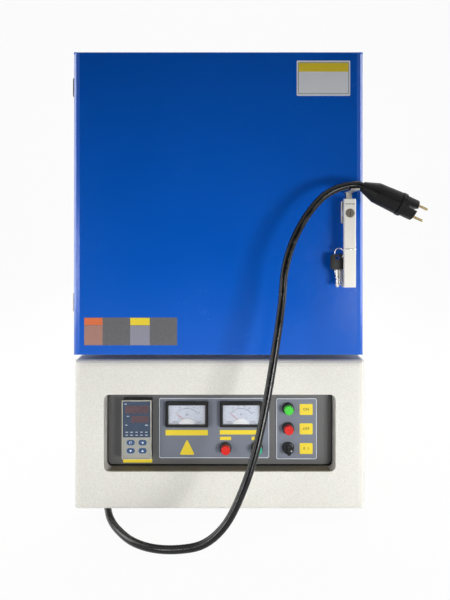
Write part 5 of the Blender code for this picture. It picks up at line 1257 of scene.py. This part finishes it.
class FURNACE_OT_door_plates(Maker, bpy.types.Operator):
    """Bare plates on the door: one with a yellow header, one strip of coloured fields"""

    bl_idname = "furnace.door_plates"
    bl_label = "Door Plates"

    def make(self, scene):
        film = scene.furnace_console.film
        low, high = corners("door_skin")
        face = low.y - LIFT
        x, z = high.x - 0.0665, high.z - 0.0434
        plate = Stock()
        plate.plate(rounded(0.0869, 0.0573, 0.0018), x, z, face, 0.0005, finish("Silver Film"), 0.0002)
        top = face - 0.0005
        plate.frame(rounded(0.0820, 0.0511, 0.0010), rounded(0.0808, 0.0499, 0.0006), x, z, top, film,
                    finish("Ink"))
        plate.plate(rounded(0.0804, 0.0141, 0.0005), x, z + 0.0176, top, film, finish("Yellow Film"))
        plate.made("upper_door_plate", "door", slot="blue_paint")
        strip = Stock()
        left, z0, z1 = low.x + 0.0195, low.z + 0.0162, low.z + 0.0612
        split = z1 - 0.0128
        strip.plate(rounded(0.1509, z1 - z0, 0.0006), left + 0.07545, (z0 + z1) / 2, face, 0.00025,
                    finish("Slate Film"))
        top = face - 0.00025
        for x0, x1, low_z, high_z, colour in (
            (0, 0.0303, split, z1, "Orange Film"), (0, 0.0303, z0, split, "Rose Film"),
            (0.0745, 0.1069, split, z1, "Yellow Film"), (0.0745, 0.1069, z0, split, "Lilac Film"),
        ):
            strip.plate(rounded(x1 - x0 - 0.0008, high_z - low_z - 0.0008, 0.0003, 2), left + (x0 + x1) / 2,
                        (low_z + high_z) / 2, top, film, finish(colour))
        strip.made("lower_door_plate", "door", slot="blue_paint")


class FURNACE_OT_handle(Maker, bpy.types.Operator):
    """Lever, lock cylinder and the lines cut across the lever; the wider middle cut is a near-black strip, painted
    shade of the groove
    """

    bl_idname = "furnace.handle"
    bl_label = "Handle"

    def make(self, scene):
        dress("Handle Alloy", "lock_lever")
        dress("Zinc", "lock_base")
        dress("Cylinder Metal", "lock_cylinder")
        low, high = (Vector(corner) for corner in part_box("lock_lever"))
        centre = (low.x + high.x) / 2
        lines = Stock()
        ink = finish("Ink")
        # The cuts are flat strips; the wider middle one is in ink, which is painted shade of the groove.
        for drop, tall, colour in ((0.0046, 0.0003, "Zinc"), (0.0082, 0.0010, "Ink"), (0.0116, 0.0003, "Zinc")):
            lines.plate(rounded(0.0150, tall, tall * 0.3, 2), centre, high.z - drop, low.y - 0.00001, 0.00006,
                        finish(colour))
        lines.made("lever_lines", "lever", slot="zinc_grey")


class FURNACE_OT_keys(Maker, bpy.types.Operator):
    """Ring, link and the two keys"""

    bl_idname = "furnace.keys"
    bl_label = "Keys"

    def make(self, scene):
        ring_low, ring_high = corners("key_ring")
        centre = (ring_low + ring_high) / 2
        wire = (ring_high.z - ring_low.z) / 2
        coil = Stock()
        turns, steps = 2.0, 96
        path = []
        for step in range(steps + 1):
            angle = radians(20) + 2 * pi * turns * step / steps
            radius = (ring_high.x - ring_low.x) / 2 - wire
            rise = (step / steps - 0.5) * wire
            path.append(centre + Vector((radius * cos(angle), radius * sin(angle), rise)))
        coil.tube(path, wire * 0.5, finish("Bright Steel"), 8)
        coil.made("split_ring", "lever", crease=50, stands_for=("key_ring",), slot="steel")

        low, high = corners("keys")
        hang = joint_place("keys_swing")
        wire, radius, turn = 0.0006, 0.0078, radians(36)
        middle_of_link = Vector((hang.x, hang.y, high.z - wire - radius))
        along = Vector((cos(turn), -sin(turn), 0))
        link = Stock()
        rings = []
        for step in range(40):
            angle = 2 * pi * step / 40
            out = along * cos(angle) + Vector((0, 0, sin(angle)))
            side = out.cross(along.cross(Vector((0, 0, 1)))).cross(out).normalized()
            rings.append([middle_of_link + out * (radius + a) + side * b for a, b in circle(wire, 8)])
        link.loft(rings, finish("Bright Steel"), loop=True)
        link.made("key_link", "keys", crease=60, stands_for=("keys",), slot="steel")

        x = low.x + 0.011
        for name, y, fan in (("front_key", hang.y - 0.0018, 0.0), ("rear_key", hang.y + 0.0018, radians(9))):
            swing = Matrix.Translation(hang) @ Matrix.Rotation(-fan, 4, "Y") @ Matrix.Translation(-hang)
            self.key(name, x, y, low.z, swing)

    def key(self, name, x, y, tip, swing):
        """One flat key: a moulded head with its slot and a toothed blade, its grooves drawn as dark strips of painted
        shade
        """
        head_low = tip + 0.0280
        centre = head_low + 0.01235
        outer = rounded(0.0220, 0.0247, 0.0042, 5)
        slot = rounded(0.0096, 0.0050, 0.0012, 5)
        rise = 0.0067
        hole = [(a, b + rise) for a, b in slot]
        key = Stock()
        head = finish("Key Head")
        sheet = 0.00145

        def level(outline, share, depth):
            return [Vector((x + a * share, y + depth, centre + b * share)) for a, b in outline]

        key.loft(
            [level(hole, 1, -sheet), level(outer, 0.93, -sheet), level(outer, 0.985, -sheet + 0.0003),
             level(outer, 1, -sheet + 0.0009), level(outer, 1, sheet - 0.0009), level(outer, 0.985, sheet - 0.0003),
             level(outer, 0.93, sheet), level(hole, 1, sheet)],
            head, loop=True,
        )
        rim = rounded(0.0158, 0.0092, 0.0020, 4)
        recess = rounded(0.0150, 0.0084, 0.0017, 4)
        for depth in (-sheet - 0.0002, sheet):
            key.frame(rim, recess, x, centre - 0.0045, y + depth + 0.0002, 0.0002, head)
        steel = finish("Bright Steel")
        half = 0.0044
        blade = [(half, 0.0300), (half, half), (0.0012, 0.0002), (-0.0006, 0.0), (-half / 2, half / 2)]
        pitch = 0.0029
        for number, bite in enumerate((0.15, 0.65, 0.35, 0.80, 0.25, 0.55, 0.10)):
            foot = half + number * pitch
            blade.append((-half + bite * 0.0040 + 0.0004, foot - pitch * 0.12))
            blade.append((-half + bite * 0.0040, foot + pitch * 0.18))
        blade += [(-half, 0.0262), (-half, 0.0300)]
        face = [Vector((x + a, y - 0.0010, tip + b)) for a, b in blade]
        back = [point + Vector((0, 0.0020, 0)) for point in face]
        key.loft([face, back], steel)
        # The blade's grooves are dark metal strips on its flat faces: painted shade of the grooves.
        dark = finish("Dark Metal")
        for depth in (-0.00105, 0.00100):
            key.plate(rounded(0.0009, 0.0215, 0.0004, 2), x + 0.0019, tip + 0.0160, y + depth + 0.00005, 0.00005, dark)
        for index, point in enumerate(key.points):
            key.points[index] = swing @ point
        key.made(name, "keys", crease=40, stands_for=("keys",), slot="dark_metal")


# ---- panel and running order -----------------------------------------------

STEPS = (
    FURNACE_OT_stage, FURNACE_OT_cord, FURNACE_OT_cabinet, FURNACE_OT_chamber, FURNACE_OT_console_plates,
    FURNACE_OT_switches, FURNACE_OT_meters, FURNACE_OT_controller, FURNACE_OT_door_plates, FURNACE_OT_handle,
    FURNACE_OT_keys,
)
SETTINGS = {
    "furnace_stage": StageSettings, "furnace_paint": PaintSettings, "furnace_console": ConsoleSettings,
    "furnace_cord": CordSettings, "furnace_chamber": ChamberSettings,
}


class FURNACE_PT_panel(bpy.types.Panel):
    """Every step of dressing the furnace"""

    bl_label = "Dental Lab Furnace"
    bl_idname = "FURNACE_PT_panel"
    bl_space_type = "VIEW_3D"
    bl_region_type = "UI"
    bl_category = "Furnace"

    def draw(self, context):
        for step in STEPS:
            self.layout.operator(step.bl_idname)
        for name, kind in SETTINGS.items():
            box = self.layout.box()
            box.label(text=kind.__doc__)
            for field in kind.__annotations__:
                box.prop(getattr(context.scene, name), field)


def register():
    for kind in (*SETTINGS.values(), *STEPS, FURNACE_PT_panel):
        bpy.utils.register_class(kind)
    for name, kind in SETTINGS.items():
        setattr(bpy.types.Scene, name, PointerProperty(type=kind))


def unregister():
    for name in SETTINGS:
        delattr(bpy.types.Scene, name)
    for kind in reversed((*SETTINGS.values(), *STEPS, FURNACE_PT_panel)):
        bpy.utils.unregister_class(kind)


def main():
    """Dresses the furnace in order"""
    register()
    for step in STEPS:
        group, name = step.bl_idname.split(".")
        getattr(getattr(bpy.ops, group), name)()


if __name__ == "__main__":
    main()
